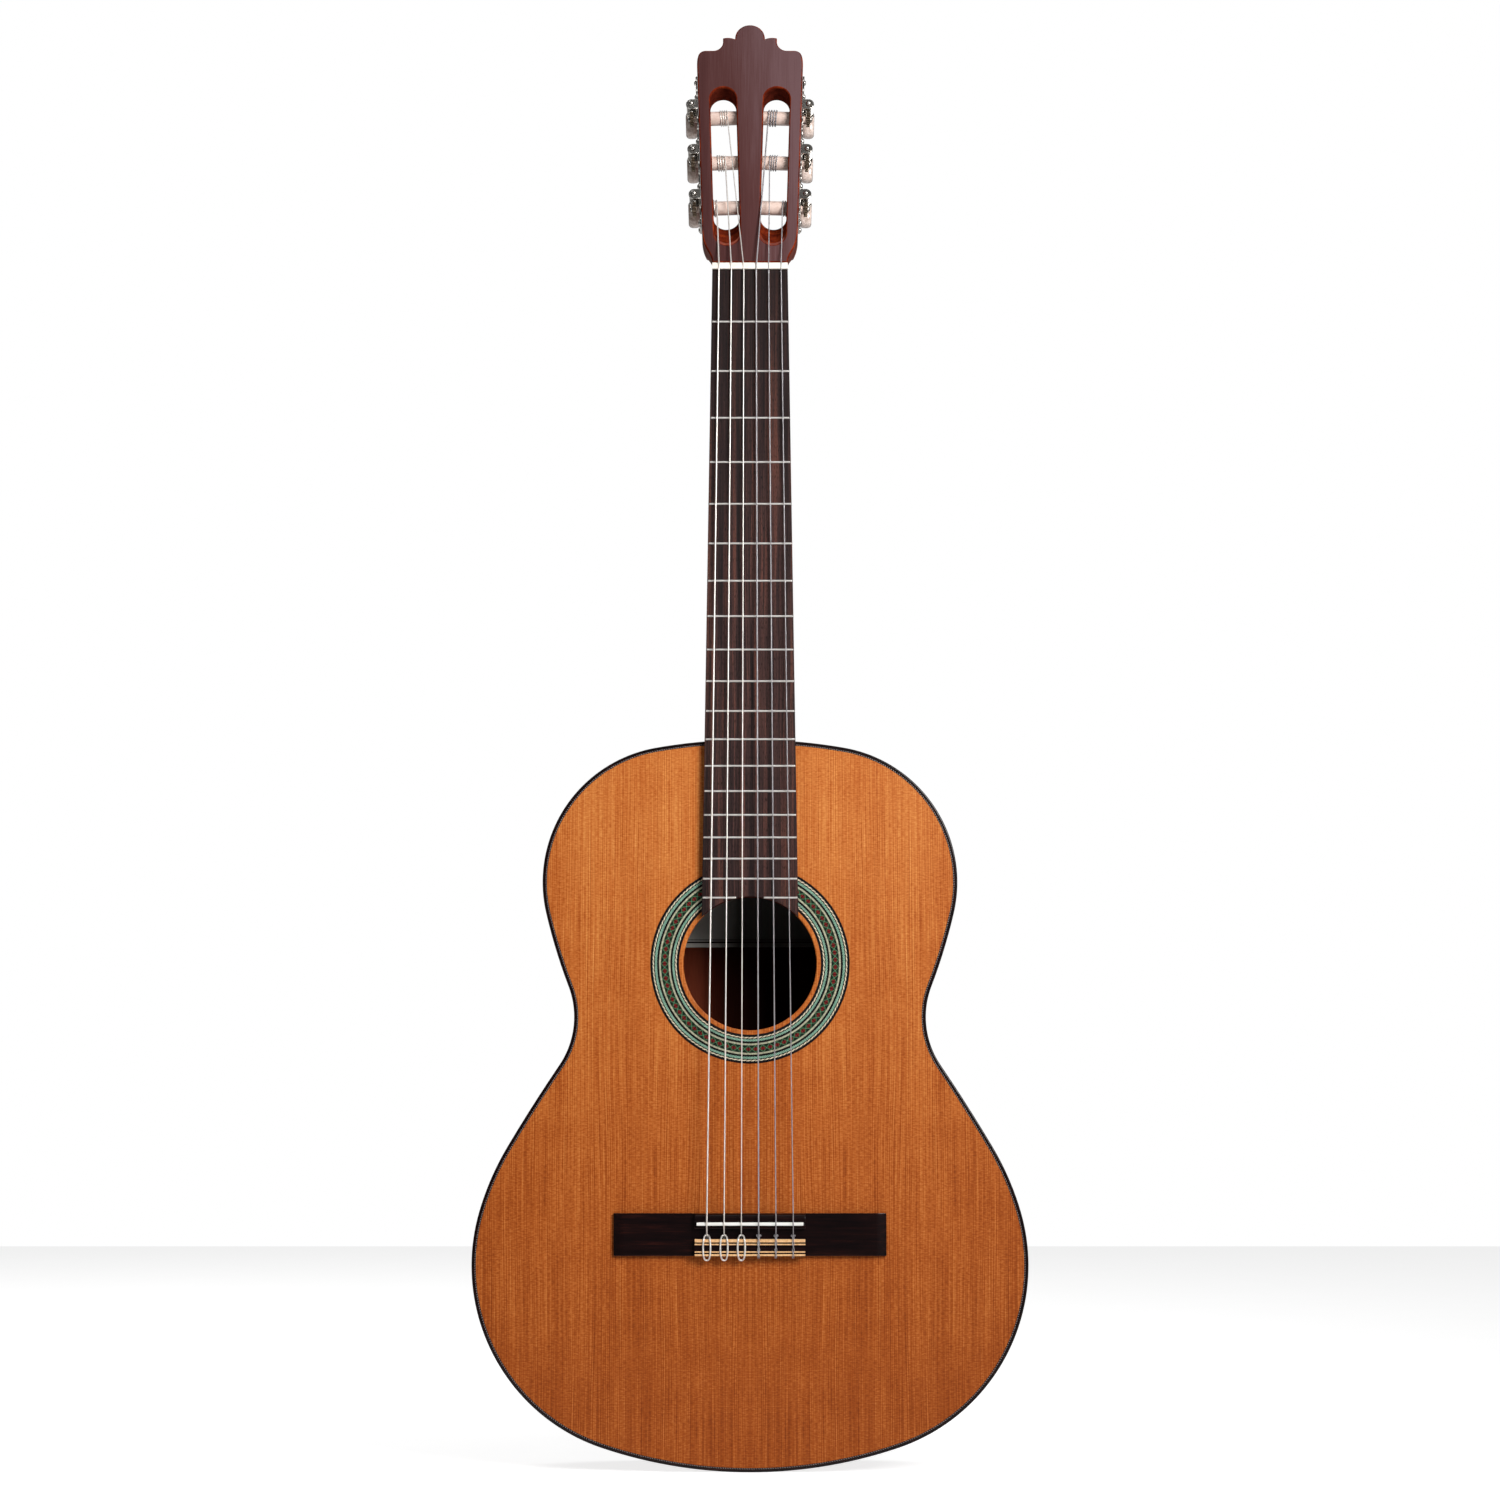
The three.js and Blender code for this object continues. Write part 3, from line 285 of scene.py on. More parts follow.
class Finish:
    """A material under construction: a Principled shader and the nodes that feed it."""

    def __init__(self, name, **values):
        self.material = bpy.data.materials.new(name)
        self.material.use_nodes = True
        self.tree = self.material.node_tree
        self.shader = self.tree.nodes["Principled BSDF"]
        for key, value in values.items():
            self.shader.inputs[key.replace("_", " ")].default_value = value

    def node(self, kind, **settings):
        made = self.tree.nodes.new("ShaderNode" + kind)
        for key, value in settings.items():
            setattr(made, key, value)
        return made

    def place(self, source="Object"):
        """Where a point is, in millimetres, as three numbers. UV is in millimetres along and across."""
        coordinates = self.node("TexCoord")
        split = self.node("SeparateXYZ")
        self.tree.links.new(coordinates.outputs[source], split.inputs[0])
        numbers = [Number(self.tree, out) for out in split.outputs]
        return [n * (1 / MM) for n in numbers] if source == "Object" else numbers

    def noise(self, x, y, z, detail=3.0, roughness=0.5, distortion=0.0):
        """Noise whose features are one unit apart along each of the three numbers given."""
        join = self.node("CombineXYZ")
        for value, socket in zip((x, y, z), join.inputs):
            if isinstance(value, Number):
                self.tree.links.new(value.socket, socket)
            else:
                socket.default_value = value
        texture = self.node("TexNoise")
        self.tree.links.new(join.outputs[0], texture.inputs["Vector"])
        texture.inputs["Scale"].default_value = 1.0
        texture.inputs["Detail"].default_value = detail
        texture.inputs["Roughness"].default_value = roughness
        texture.inputs["Distortion"].default_value = distortion
        return Number(self.tree, texture.outputs["Fac"])

    def ramp(self, number, stops, steps=False):
        """A colour for each number. Stops are (number, colour), the colour as three values for srgb."""
        made = self.node("ValToRGB")
        self.tree.links.new(number.socket, made.inputs[0])
        made.color_ramp.interpolation = "CONSTANT" if steps else "LINEAR"
        elements = made.color_ramp.elements
        while len(elements) < len(stops):
            elements.new(0.5)
        for element, (position, colour) in zip(elements, stops):
            element.position = position
            element.color = srgb(*colour)
        return made.outputs[0]

    def spread(self, number, low, high, to_low=0.0, to_high=1.0):
        """The number's range from low to high, stretched and clamped to another range."""
        made = self.node("MapRange")
        self.tree.links.new(number.socket, made.inputs["Value"])
        for key, value in zip(("From Min", "From Max", "To Min", "To Max"), (low, high, to_low, to_high)):
            made.inputs[key].default_value = value
        return Number(self.tree, made.outputs[0])

    def mix(self, factor, first, second, mode="MIX"):
        made = self.node("Mix", data_type="RGBA", blend_type=mode)
        places = {"factor": made.inputs[0], "first": made.inputs[6], "second": made.inputs[7]}
        for key, value in (("factor", factor), ("first", first), ("second", second)):
            if isinstance(value, Number):
                self.tree.links.new(value.socket, places[key])
            elif isinstance(value, bpy.types.NodeSocket):
                self.tree.links.new(value, places[key])
            else:
                places[key].default_value = value
        return made.outputs[2]

    def colour(self, socket):
        self.tree.links.new(socket, self.shader.inputs["Base Color"])

    def roughness(self, number):
        self.tree.links.new(number.socket, self.shader.inputs["Roughness"])

    def bump(self, number, height, strength=1.0):
        """Relief of the given height in millimetres."""
        made = self.node("Bump")
        made.inputs["Distance"].default_value = height * MM
        made.inputs["Strength"].default_value = strength
        self.tree.links.new(number.socket, made.inputs["Height"])
        self.tree.links.new(made.outputs[0], self.shader.inputs["Normal"])


# ---------------------------------------------------------------- finishes


def floor_material():
    made = Finish("floor", Roughness=0.9, Emission_Color=(1, 1, 1, 1))
    x, y, z = made.place()
    speck = made.noise(x * 0.02, y * 0.02, z * 0.02)
    made.colour(made.ramp(speck, [(0.3, (206, 206, 206)), (0.7, (212, 212, 212))]))
    strength_by_ray(made.tree, 0.8, 0.3, made.shader.inputs["Emission Strength"])
    return made.material


def cedar():
    """Straight, close grain, book-matched about the middle joint, under satin varnish."""
    made = Finish("cedar", Roughness=0.45, Specular_IOR_Level=0.12, Coat_Weight=0.1, Coat_Roughness=0.25)
    x, y, z = made.place()
    off = abs(x)
    across = off + made.noise(off * 0.02, 0.0, z * 0.005, detail=1.0) * 7.0
    uneven = made.noise(across * 0.4, 4.0, z * 0.004, detail=1.0) * 1.8
    ring = (across * (1 / 1.3) + uneven).fraction()
    strength = made.spread(made.noise(across * 0.3, 7.0, z * 0.03), 0.35, 0.65, 0.4, 1.0)
    line = made.noise(across * 1.1, 9.0, z * 0.012, detail=1.0)
    band = made.noise(across * 0.1, y * 0.1, z * 0.002, detail=2.0)
    broad = made.noise(across * 0.02, 1.0, z * 0.006, detail=1.0)
    silk = made.noise(off * 0.35, y * 0.5, z * 1.0, detail=2.0, roughness=0.6)
    cloud = made.noise(off * 0.05, 2.0, z * 0.06, detail=3.0, roughness=0.6)
    # Painted shade: the top is darkened towards the tail, where the light falls off.
    painted_shade_to_tail = made.spread(z, -800, -380, -0.148, -0.037)
    tone = (ring - 0.5) * strength * -0.15 + line * 0.28 + band * 0.06 + broad * 0.12
    tone = tone + silk * 0.34 + cloud * 0.1 + painted_shade_to_tail + 0.045
    stops = [
        (0.24, (124, 54, 12)),
        (0.34, (150, 70, 18)),
        (0.44, (179, 96, 38)),
        (0.54, (199, 124, 60)),
        (0.68, (224, 154, 90)),
    ]
    made.colour(made.ramp(tone, stops))
    made.bump(ring, 0.015, 0.2)
    return made.material


def rosewood(name, bent=False):
    """Dark rosewood with purple-black lines, under gloss varnish. Bent grain runs round with the rib."""
    made = Finish(name, Roughness=0.3, Coat_Weight=1.0, Coat_Roughness=0.05)
    x, y, z = made.place()
    off = y * 1.3 if bent else abs(x) + abs(y) * 0.8
    wander = made.noise(off * 0.02, 0.0, z * 0.008, detail=2.0) * 22.0
    across = off + wander
    band = made.noise(across * 0.11, 0.0, z * 0.002, detail=4.0, roughness=0.6)
    line = made.noise(across * 0.55, 2.0, z * 0.004, detail=3.0, roughness=0.7)
    pore = made.noise(across * 2.2, y * 0.5, z * 0.05, detail=2.0)
    tone = band * 0.55 + line * 0.35 + pore * 0.1
    stops = [
        (0.36, (20, 9, 8)),
        (0.46, (48, 22, 17)),
        (0.54, (82, 40, 27)),
        (0.66, (118, 62, 40)),
    ]
    made.colour(made.ramp(tone, stops))
    made.bump(pore, 0.02, 0.2)
    return made.material


def black_rosewood():
    """Almost black rosewood, oiled and buffed to a gloss."""
    gloss = {"Coat_Weight": 0.3, "Coat_Roughness": 0.04}
    made = Finish("black_rosewood", Roughness=0.3, Specular_IOR_Level=0.1, **gloss)
    x, y, z = made.place()
    streak = made.noise(x * 0.025, y * 0.3, z * 0.5, detail=4.0, roughness=0.65)
    pore = made.noise(x * 0.15, y * 2.0, z * 2.5, detail=2.0)
    tone = streak * 0.8 + pore * 0.2
    stops = [(0.38, (8, 2, 3)), (0.55, (20, 6, 6)), (0.72, (50, 20, 15))]
    made.colour(made.ramp(tone, stops))
    made.bump(pore, 0.01, 0.2)
    return made.material


def mahogany():
    """Reddish-brown neck wood with short open pores, satin varnish."""
    made = Finish("mahogany", Roughness=0.38, Coat_Weight=0.5, Coat_Roughness=0.2)
    x, y, z = made.place()
    wander = made.noise(x * 0.03, y * 0.03, z * 0.008, detail=1.0) * 8.0
    across = x + y * 0.4 + wander
    band = made.noise(across * 0.2, y * 0.08, z * 0.006, detail=3.0)
    pore = made.noise(x * 3.0, y * 3.0, z * 0.22, detail=2.0, roughness=0.7)
    tone = band * 0.7 + pore * 0.3
    stops = [(0.34, (78, 26, 15)), (0.5, (122, 47, 26)), (0.68, (158, 72, 38))]
    made.colour(made.ramp(tone, stops))
    made.bump(pore, 0.03, 0.35)
    return made.material


def bare_rosewood():
    """The back's unvarnished inner face, reddish brown and dull, with painted shade darkening the treble
    side, out of the light from the soundhole.
    """
    made = Finish("bare_rosewood", Roughness=0.75, IOR=1.0)
    x, y, z = made.place()
    band = made.noise(x * 0.05, 0.0, z * 0.003, detail=2.0)
    pore = made.noise(x * 2.0, 2.0, z * 0.08, detail=2.0)
    stops = [(0.36, (72, 28, 19)), (0.5, (102, 44, 30)), (0.66, (126, 60, 41))]
    base = made.ramp(band * 0.75 + pore * 0.25, stops)
    # Painted shade: towards the treble side the wood is mixed to near-black.
    made.colour(made.mix(made.spread(x, -50, -15, 0.0, 0.94), base, srgb(8, 4, 4)))
    made.bump(pore, 0.03, 0.4)
    return made.material


def sanded_edge():
    """The bright orange-red of varnished end grain, on the head's rounded rims and the slots' feet."""
    made = Finish("sanded_edge", Roughness=0.5, IOR=1.0)
    x, y, z = made.place()
    cloud = made.noise(x * 0.12, y * 0.12, z * 0.12, detail=4.0, distortion=0.6)
    ring = made.noise(x * 0.5, y * 1.6, z * 0.5, detail=2.0)
    tone = cloud * 0.65 + ring * 0.35
    stops = [(0.34, (66, 20, 12)), (0.5, (104, 35, 18)), (0.7, (150, 60, 27))]
    made.colour(made.ramp(tone, stops))
    made.bump(ring, 0.02, 0.2)
    return made.material


def head_face():
    """The head's stained veneer: deep maroon, faint upright grain, and painted sheen that makes it paler to
    the treble side and crest.
    """
    made = Finish("head_face", Roughness=0.4, Specular_IOR_Level=0.12, Coat_Weight=0.05, Coat_Roughness=0.2)
    x, y, z = made.place()
    band = made.noise(x * 0.1, 0.0, z * 0.006, detail=2.0)
    line = made.noise(x * 1.3, 0.0, z * 0.03, detail=3.0, roughness=0.6)
    # Painted sheen: the veneer is paler to the treble side and towards the crest.
    offset_with_painted_sheen = made.spread(x, -34, 28, 0.2, 0.38) + made.spread(z, 20, 175, -0.04, 0.05)
    tone = band * 0.2 + line * 0.2 + offset_with_painted_sheen
    stops = [(0.34, (62, 31, 30)), (0.48, (80, 48, 47)), (0.62, (102, 75, 77))]
    made.colour(made.ramp(tone, stops))
    made.bump(line, 0.02, 0.3)
    return made.material


def board_wood():
    """The fingerboard: unvarnished dark rosewood with grey, brown and reddish streaks along it, and painted
    shade towards the nut.
    """
    made = Finish("board_wood", Roughness=0.55, Specular_IOR_Level=0.1)
    x, y, z = made.place()
    wander = made.noise(x * 0.05, 0.0, z * 0.008, detail=1.0) * 4.0
    across = x + wander
    band = made.noise(across * 0.22, 3.0, z * 0.003, detail=3.0, roughness=0.6)
    line = made.noise(across * 1.1, y * 0.5, z * 0.012, detail=3.0, roughness=0.7)
    pore = made.noise(x * 4.0, y * 4.0, z * 0.28, detail=1.0)
    tone = band * 0.55 + line * 0.45
    stops = [
        (0.38, (24, 16, 16)),
        (0.48, (46, 31, 30)),
        (0.55, (72, 46, 41)),
        (0.64, (102, 60, 48)),
    ]
    # Painted shade: the board darkens towards the nut, where the light falls off.
    base = made.mix(made.spread(z, -200, 0, 0.0, 0.7), made.ramp(tone, stops), srgb(18, 11, 11))
    holes = made.spread(pore, 0.34, 0.42)
    made.colour(made.mix(holes, srgb(16, 11, 11), base))
    made.bump(holes, 0.05, 0.5)
    return made.material


def spruce():
    """Bare sanded spruce, for the bars, struts and linings."""
    made = Finish("spruce", Roughness=0.75)
    x, y, z = made.place()
    line = made.noise(x * 0.2, y * 1.1, z * 0.2, detail=2.0, roughness=0.6)
    fleck = made.noise(x * 0.4, y * 0.4, z * 0.4, detail=3.0)
    tone = line * 0.7 + fleck * 0.3
    made.colour(made.ramp(tone, [(0.36, (176, 132, 84)), (0.6, (222, 188, 140))]))
    made.bump(line, 0.03, 0.4)
    return made.material


def mottled(name, dark, light, grain, height=0.01, **values):
    """A plain stuff with slight clouding and a fine relief. Grain is in features to the millimetre."""
    made = Finish(name, **values)
    x, y, z = made.place()
    cloud = made.noise(x * grain, y * grain, z * grain, detail=4.0)
    made.colour(made.ramp(cloud, [(0.34, dark), (0.66, light)]))
    made.bump(cloud, height, 0.4)
    return made.material


def pearl():
    """Pearl-look plastic: pale bands that swirl through a warm grey body."""
    made = Finish("pearl", Roughness=0.22, Coat_Weight=0.9, Coat_Roughness=0.06)
    x, y, z = made.place()
    swirl = made.noise(x * 0.16, y * 0.16, z * 0.16, detail=4.0, roughness=0.6, distortion=2.4)
    stops = [
        (0.36, (186, 164, 152)),
        (0.48, (212, 192, 180)),
        (0.58, (232, 214, 204)),
        (0.68, (204, 182, 172)),
    ]
    made.colour(made.ramp(swirl, stops))
    made.roughness(made.spread(swirl, 0.3, 0.7, 0.16, 0.32))
    return made.material


def wound_wire():
    """Silver-plated copper wound round the core, one turn beside the next, with a painted highlight on each
    turn's crest and painted shade in the grooves.
    """
    made = Finish("wound_wire", Metallic=0.55, Roughness=0.32)
    along, around, depth = made.place("UV")
    turn = (along * 4.0 + around).fraction()
    ridge = abs(turn - 0.5)
    # Painted highlight on each turn's crest, painted shade in the grooves between turns.
    made.colour(made.ramp(ridge, [(0.05, (255, 252, 246)), (0.45, (214, 206, 198))]))
    made.bump(ridge * -1.0, 0.05, 0.6)
    return made.material


def nylon():
    made = Finish("nylon", Roughness=0.18, IOR=1.53, Transmission_Weight=0.45)
    along, around, depth = made.place("UV")
    cloud = made.noise(along * 0.3, around, 0.0, detail=2.0)
    made.colour(made.ramp(cloud, [(0.3, (176, 172, 176)), (0.7, (200, 196, 198))]))
    return made.material


VENEER_BLACK = (8, 6, 7)
VENEER_CREAM = (226, 205, 168)


def inlay_line(name, dark, light):
    return mottled(name, dark, light, 0.8, Roughness=0.5, Specular_IOR_Level=0.1)


def rope_inlay(name, light, dark, period, share, slant):
    """Slanting dashes along a strip. Its UV runs in millimetres along and across."""
    made = Finish(name, Roughness=0.5, Specular_IOR_Level=0.1)
    along, across, depth = made.place("UV")
    dash = (along * (1 / period) + across * slant).fraction().below(share)
    cloud = made.noise(along * 0.6, across * 3.0, 0.0)
    pale = made.ramp(cloud, [(0.3, [c * 0.82 for c in light]), (0.7, light)])
    made.colour(made.mix(dash, srgb(*dark), pale))
    return made.material


def hatched_inlay():
    """The rosette's green rings: close slanting lines in two greens with white between."""
    made = Finish("hatched_inlay", Roughness=0.5, Specular_IOR_Level=0.1)
    along, across, depth = made.place("UV")
    turn = (along * 0.55 + across * 1.1).fraction()
    stops = [(0.0, (16, 30, 26)), (0.24, (92, 150, 126)), (0.7, (186, 212, 192))]
    pattern = made.ramp(turn, stops, steps=True)
    cloud = made.noise(along * 0.15, across * 0.5, 0.0, detail=2.0)
    shade = made.ramp(cloud, [(0.3, (196, 210, 206)), (0.7, (255, 255, 255))])
    made.colour(made.mix(0.8, pattern, shade, "MULTIPLY"))
    return made.material


MOSAIC_CELL = 0.53
MOSAIC_TILE = 9 * MOSAIC_CELL


def mosaic_inlay(width):
    """The rosette's middle ring: end-grain tiles, each a red four-petalled flower between pale crosses."""
    made = Finish("mosaic_inlay", Roughness=0.5, Specular_IOR_Level=0.1)
    along, across, depth = made.place("UV")
    half = MOSAIC_TILE / 2

    def cell(number):
        """The middle of the small square that a point is in."""
        return (number * (1 / MOSAIC_CELL)).math("FLOOR") * MOSAIC_CELL + MOSAIC_CELL / 2

    p = abs(cell((along * (1 / MOSAIC_TILE)).fraction() * MOSAIC_TILE) - half)
    q = abs(cell(across) - width / 2)
    from_cross = abs((p * -1.0 + half) - q)
    cross = from_cross.below(MOSAIC_CELL * 0.5)
    petals = (p + q).below(MOSAIC_CELL * 3.4).both(p.math("MAXIMUM", q).below(MOSAIC_CELL * 2.6))
    stalk = p.math("MINIMUM", q).below(MOSAIC_CELL * 0.4)
    checks = cell(along) + cell(across)
    check = (checks * (0.5 / MOSAIC_CELL)).fraction().below(0.5)
    ground = made.mix(check, srgb(8, 11, 10), srgb(20, 44, 28))
    pattern = made.mix(cross, ground, srgb(74, 112, 80))
    pattern = made.mix(petals, pattern, srgb(116, 28, 28))
    pattern = made.mix(petals.both(stalk), pattern, srgb(30, 10, 10))
    made.colour(pattern)
    return made.material


def label_paper():
    """Plain aged paper with nothing written on it, with painted shade dimming the treble side, out of the
    light from the soundhole.
    """
    made = Finish("label_paper", Roughness=0.8, IOR=1.0)
    x, y, z = made.place()
    cloud = made.noise(x * 0.05, y * 0.05, z * 0.05, detail=5.0)
    paper = made.ramp(cloud, [(0.3, (232, 230, 222)), (0.7, (250, 248, 242))])
    # Painted shade: towards the treble side the paper is mixed to near-black.
    made.colour(made.mix(made.spread(x, -46, -8, 0.0, 0.94), paper, srgb(30, 26, 25)))
    return made.material


FINISHES = {
    "cedar": cedar(),
    "rosewood": rosewood("rosewood"),
    "bent_rosewood": rosewood("bent_rosewood", bent=True),
    "black_rosewood": black_rosewood(),
    "mahogany": mahogany(),
    "sanded_edge": sanded_edge(),
    "bare_rosewood": bare_rosewood(),
    "slot_wall": mottled("slot_wall", (70, 24, 16), (104, 40, 27), 0.2, Roughness=0.8, IOR=1.0),
    "head_face": head_face(),
    "board_wood": board_wood(),
    "spruce": spruce(),
    "pearl": pearl(),
    "wound": wound_wire(),
    "nylon": nylon(),
    "label_paper": label_paper(),
    "ink": mottled("ink", (40, 30, 28), (56, 44, 40), 0.6, Roughness=0.8, IOR=1.0),
    "hatched": hatched_inlay(),
    "bone": mottled("bone", (246, 236, 222), (255, 250, 240), 0.12, Roughness=0.32, Coat_Weight=0.4),
    "saddle_bone": mottled(
        "saddle_bone", (238, 238, 232), (252, 252, 248), 0.12, Roughness=0.15, Coat_Weight=1.0
    ),
    "black": inlay_line("black", VENEER_BLACK, (20, 15, 17)),
    "cream": inlay_line("cream", (204, 178, 136), VENEER_CREAM),
    "celadon": inlay_line("celadon", (124, 122, 100), (184, 182, 156)),
    "strip_cream": inlay_line("strip_cream", (216, 164, 112), (236, 192, 142)),
    "rope": rope_inlay("rope", (206, 170, 122), (38, 24, 22), 2.1, 0.62, 0.55),
    "edge_rope": rope_inlay("edge_rope", (138, 124, 120), (14, 8, 9), 1.6, 0.5, 0.5),
    "ring_rope": rope_inlay("ring_rope", (232, 218, 188), VENEER_BLACK, 3.1, 0.7, 0.75),
    "nickel": mottled("nickel", (176, 170, 164), (214, 209, 202), 0.4, Metallic=1.0, Roughness=0.22),
    "brass": mottled("brass", (112, 96, 82), (150, 134, 116), 0.5, Metallic=1.0, Roughness=0.34),
    "fret_wire": mottled("fret_wire", (232, 228, 222), (250, 247, 242), 0.5, Metallic=0.6, Roughness=0.24),
    "barrel": mottled("barrel", (214, 186, 172), (234, 210, 198), 0.3, Roughness=0.42, Coat_Weight=0.3),
}


# ---------------------------------------------------------------- mesh helpers


def clean(mesh, matrix=None):
    """Merges doubled points, turns the faces out, places the mesh and shades it."""
    if matrix is not None:
        mesh.transform(matrix)
    work = bmesh.new()
    work.from_mesh(mesh)
    bmesh.ops.remove_doubles(work, verts=work.verts, dist=1e-7)
    bmesh.ops.recalc_face_normals(work, faces=work.faces)
    work.to_mesh(mesh)
    work.free()
    return shaded(mesh)


def shaded(mesh):
    """Smooth shading, except across edges that turn by more than a set angle."""
    mesh.shade_smooth()
    mesh.set_sharp_from_angle(angle=math.radians(38))
    return mesh


def mesh_from(points, faces, uvs=None, matrix=None):
    """A mesh from points in millimetres. uvs holds one pair for each point."""
    mesh = bpy.data.meshes.new("made")
    mesh.from_pydata([Vector(p) * MM for p in points], [], faces)
    if uvs:
        layer = mesh.uv_layers.new(name="along_across")
        for loop in mesh.loops:
            layer.data[loop.index].uv = uvs[loop.vertex_index]
    return clean(mesh, scaled(matrix))


def scaled(matrix):
    """A matrix whose place is in millimetres, as one in metres."""
    if matrix is None:
        return None
    made = matrix.copy()
    made.translation *= MM
    return made


def loft(rings, loop=False, matrix=None):
    """A skin over closed rings of points, capped at both ends unless the last ring joins the first."""
    count = len(rings[0])
    points = [p for ring in rings for p in ring]
    faces = []
    for i in range(len(rings) if loop else len(rings) - 1):
        here = i * count
        ahead = ((i + 1) % len(rings)) * count
        for k in range(count):
            other = (k + 1) % count
            faces.append((here + k, here + other, ahead + other, ahead + k))
    if not loop:
        last = (len(rings) - 1) * count
        faces.append(tuple(range(count - 1, -1, -1)))
        faces.append(tuple(range(last, last + count)))
    return mesh_from(points, faces, matrix=matrix)


def drawn_in(loop, distance):
    """A closed loop of (x, z) points moved to its left by a distance, with mitred corners."""
    count = len(loop)
    made = []
    for i in range(count):
        before, here, after = (Vector(loop[(i + k) % count]) for k in (-1, 0, 1))
        first, second = (here - before).normalized(), (after - here).normalized()
        normals = Vector((-first.y, first.x)), Vector((-second.y, second.x))
        mitre = 1 + max(normals[0].dot(normals[1]), -0.6)
        made.append(tuple(here + (normals[0] + normals[1]) * (distance / mitre)))
    return made


def area(loop):
    """Twice the area inside a loop: positive if it runs with the material on its left."""
    return sum(a[0] * b[1] - b[0] * a[1] for a, b in zip(loop, loop[1:] + loop[:1]))


def wound_for_hole(loop, is_hole):
    """The loop, running with the material on its left."""
    return loop[::-1] if (area(loop) > 0) == is_hole else loop


def stacked(layers, matrix=None):
    """A solid from outlines at rising depths. A layer is its depth and its loops: rim first, then holes."""
    points = [(x, y, z) for y, loops in layers for loop in loops for x, z in loop]
    sizes = [len(loop) for loop in layers[0][1]]
    total = sum(sizes)
    faces = []
    for layer in range(len(layers) - 1):
        start = layer * total
        for size in sizes:
            for k in range(size):
                a, b = start + k, start + (k + 1) % size
                faces.append((a, b, b + total, a + total))
            start += size
    for number in (0, len(layers) - 1):
        flat = [[Vector((x, z, 0)) for x, z in loop] for loop in layers[number][1]]
        faces += [tuple(i + number * total for i in face) for face in tessellate_polygon(flat)]
    return mesh_from(points, faces, matrix=matrix)


def rounded_edge(radius, steps):
    """A rounded edge as rows of (drop from the face, how far the outline is drawn in)."""
    if not radius:
        return [(0.0, 0.0)]
    turns = [math.pi / 2 * k / steps for k in range(steps + 1)]
    return [(radius * (1 - math.cos(a)), radius * (1 - math.sin(a))) for a in turns]


def plate(loops, front, depth, bevel=0.0, matrix=None, bevel_back=None, steps=4):
    """A flat plate with rounded edges: the first loop of (x, z) is its rim and the others are holes."""
    loops = [wound_for_hole(loop, i > 0) for i, loop in enumerate(loops)]
    rows = [(front + drop, inset) for drop, inset in rounded_edge(bevel, steps)]
    behind = rounded_edge(bevel if bevel_back is None else bevel_back, steps)
    rows += [(front + depth - drop, inset) for drop, inset in reversed(behind)]
    return stacked([(y, [drawn_in(loop, inset) for loop in loops]) for y, inset in rows], matrix)


def turned(profile, sides=48, matrix=None):
    """A piece turned about Y. The profile is (radius, y), and closes on the axis or on itself."""
    rings = []
    for k in range(sides):
        angle = math.tau * k / sides
        rings.append([(r * math.cos(angle), y, r * math.sin(angle)) for r, y in profile])
    return loft(rings, loop=True, matrix=matrix)


def box(low, high, bevel=0.0, matrix=None):
    corners = [(low[0], low[2]), (high[0], low[2]), (high[0], high[2]), (low[0], high[2])]
    return plate([corners], low[1], high[1] - low[1], bevel, matrix)


def strip(inner, outer, front, depth, closed=True):
    """A band between two rows of (x, z) points. Its UV is millimetres along the inner row, and across."""
    along = [0.0]
    count = len(inner)
    for k in range(count):
        here, ahead = Vector(inner[k]), Vector(inner[(k + 1) % count])
        along.append(along[-1] + (ahead - here).length)
    sections = []
    uvs = []
    for k in range(count + 1 if closed else count):
        (ax, az), (bx, bz) = inner[k % count], outer[k % count]
        across = math.hypot(bx - ax, bz - az)
        rear = front + depth
        sections.append([(ax, front, az), (bx, front, bz), (bx, rear, bz), (ax, rear, az)])
        uvs += [(along[k], 0), (along[k], across), (along[k], across + depth), (along[k], -depth)]
    faces = []
    for k in range(len(sections) - 1):
        for side in range(4):
            other = (side + 1) % 4
            faces.append((4 * k + side, 4 * k + other, 4 * k + 4 + other, 4 * k + 4 + side))
    if not closed:
        last = 4 * (len(sections) - 1)
        faces += [(3, 2, 1, 0), (last, last + 1, last + 2, last + 3)]
    return mesh_from([p for section in sections for p in section], faces, uvs)


def tube(path, radius, sides=12, matrix=None):
    """A round wire along a smooth path. Its UV is millimetres along, and the share of a turn around."""
    path = [Vector(p) for p in path]
    points, uvs, faces = [], [], []
    side = Vector((1, 0, 0))
    travelled = 0.0
    for i, here in enumerate(path):
        along = (path[min(i + 1, len(path) - 1)] - path[max(i - 1, 0)]).normalized()
        side = (side - along * side.dot(along)).normalized()
        up = along.cross(side)
        if i:
            travelled += (here - path[i - 1]).length
        for k in range(sides + 1):
            angle = math.tau * k / sides
            points.append(here + (side * math.cos(angle) + up * math.sin(angle)) * radius)
            uvs.append((travelled, k / sides))
    row = sides + 1
    for i in range(len(path) - 1):
        for k in range(sides):
            start = i * row + k
            faces.append((start, start + 1, start + row + 1, start + row))
    last = (len(path) - 1) * row
    faces.append(tuple(range(sides - 1, -1, -1)))
    faces.append(tuple(range(last, last + sides)))
    return mesh_from(points, faces, uvs, matrix)


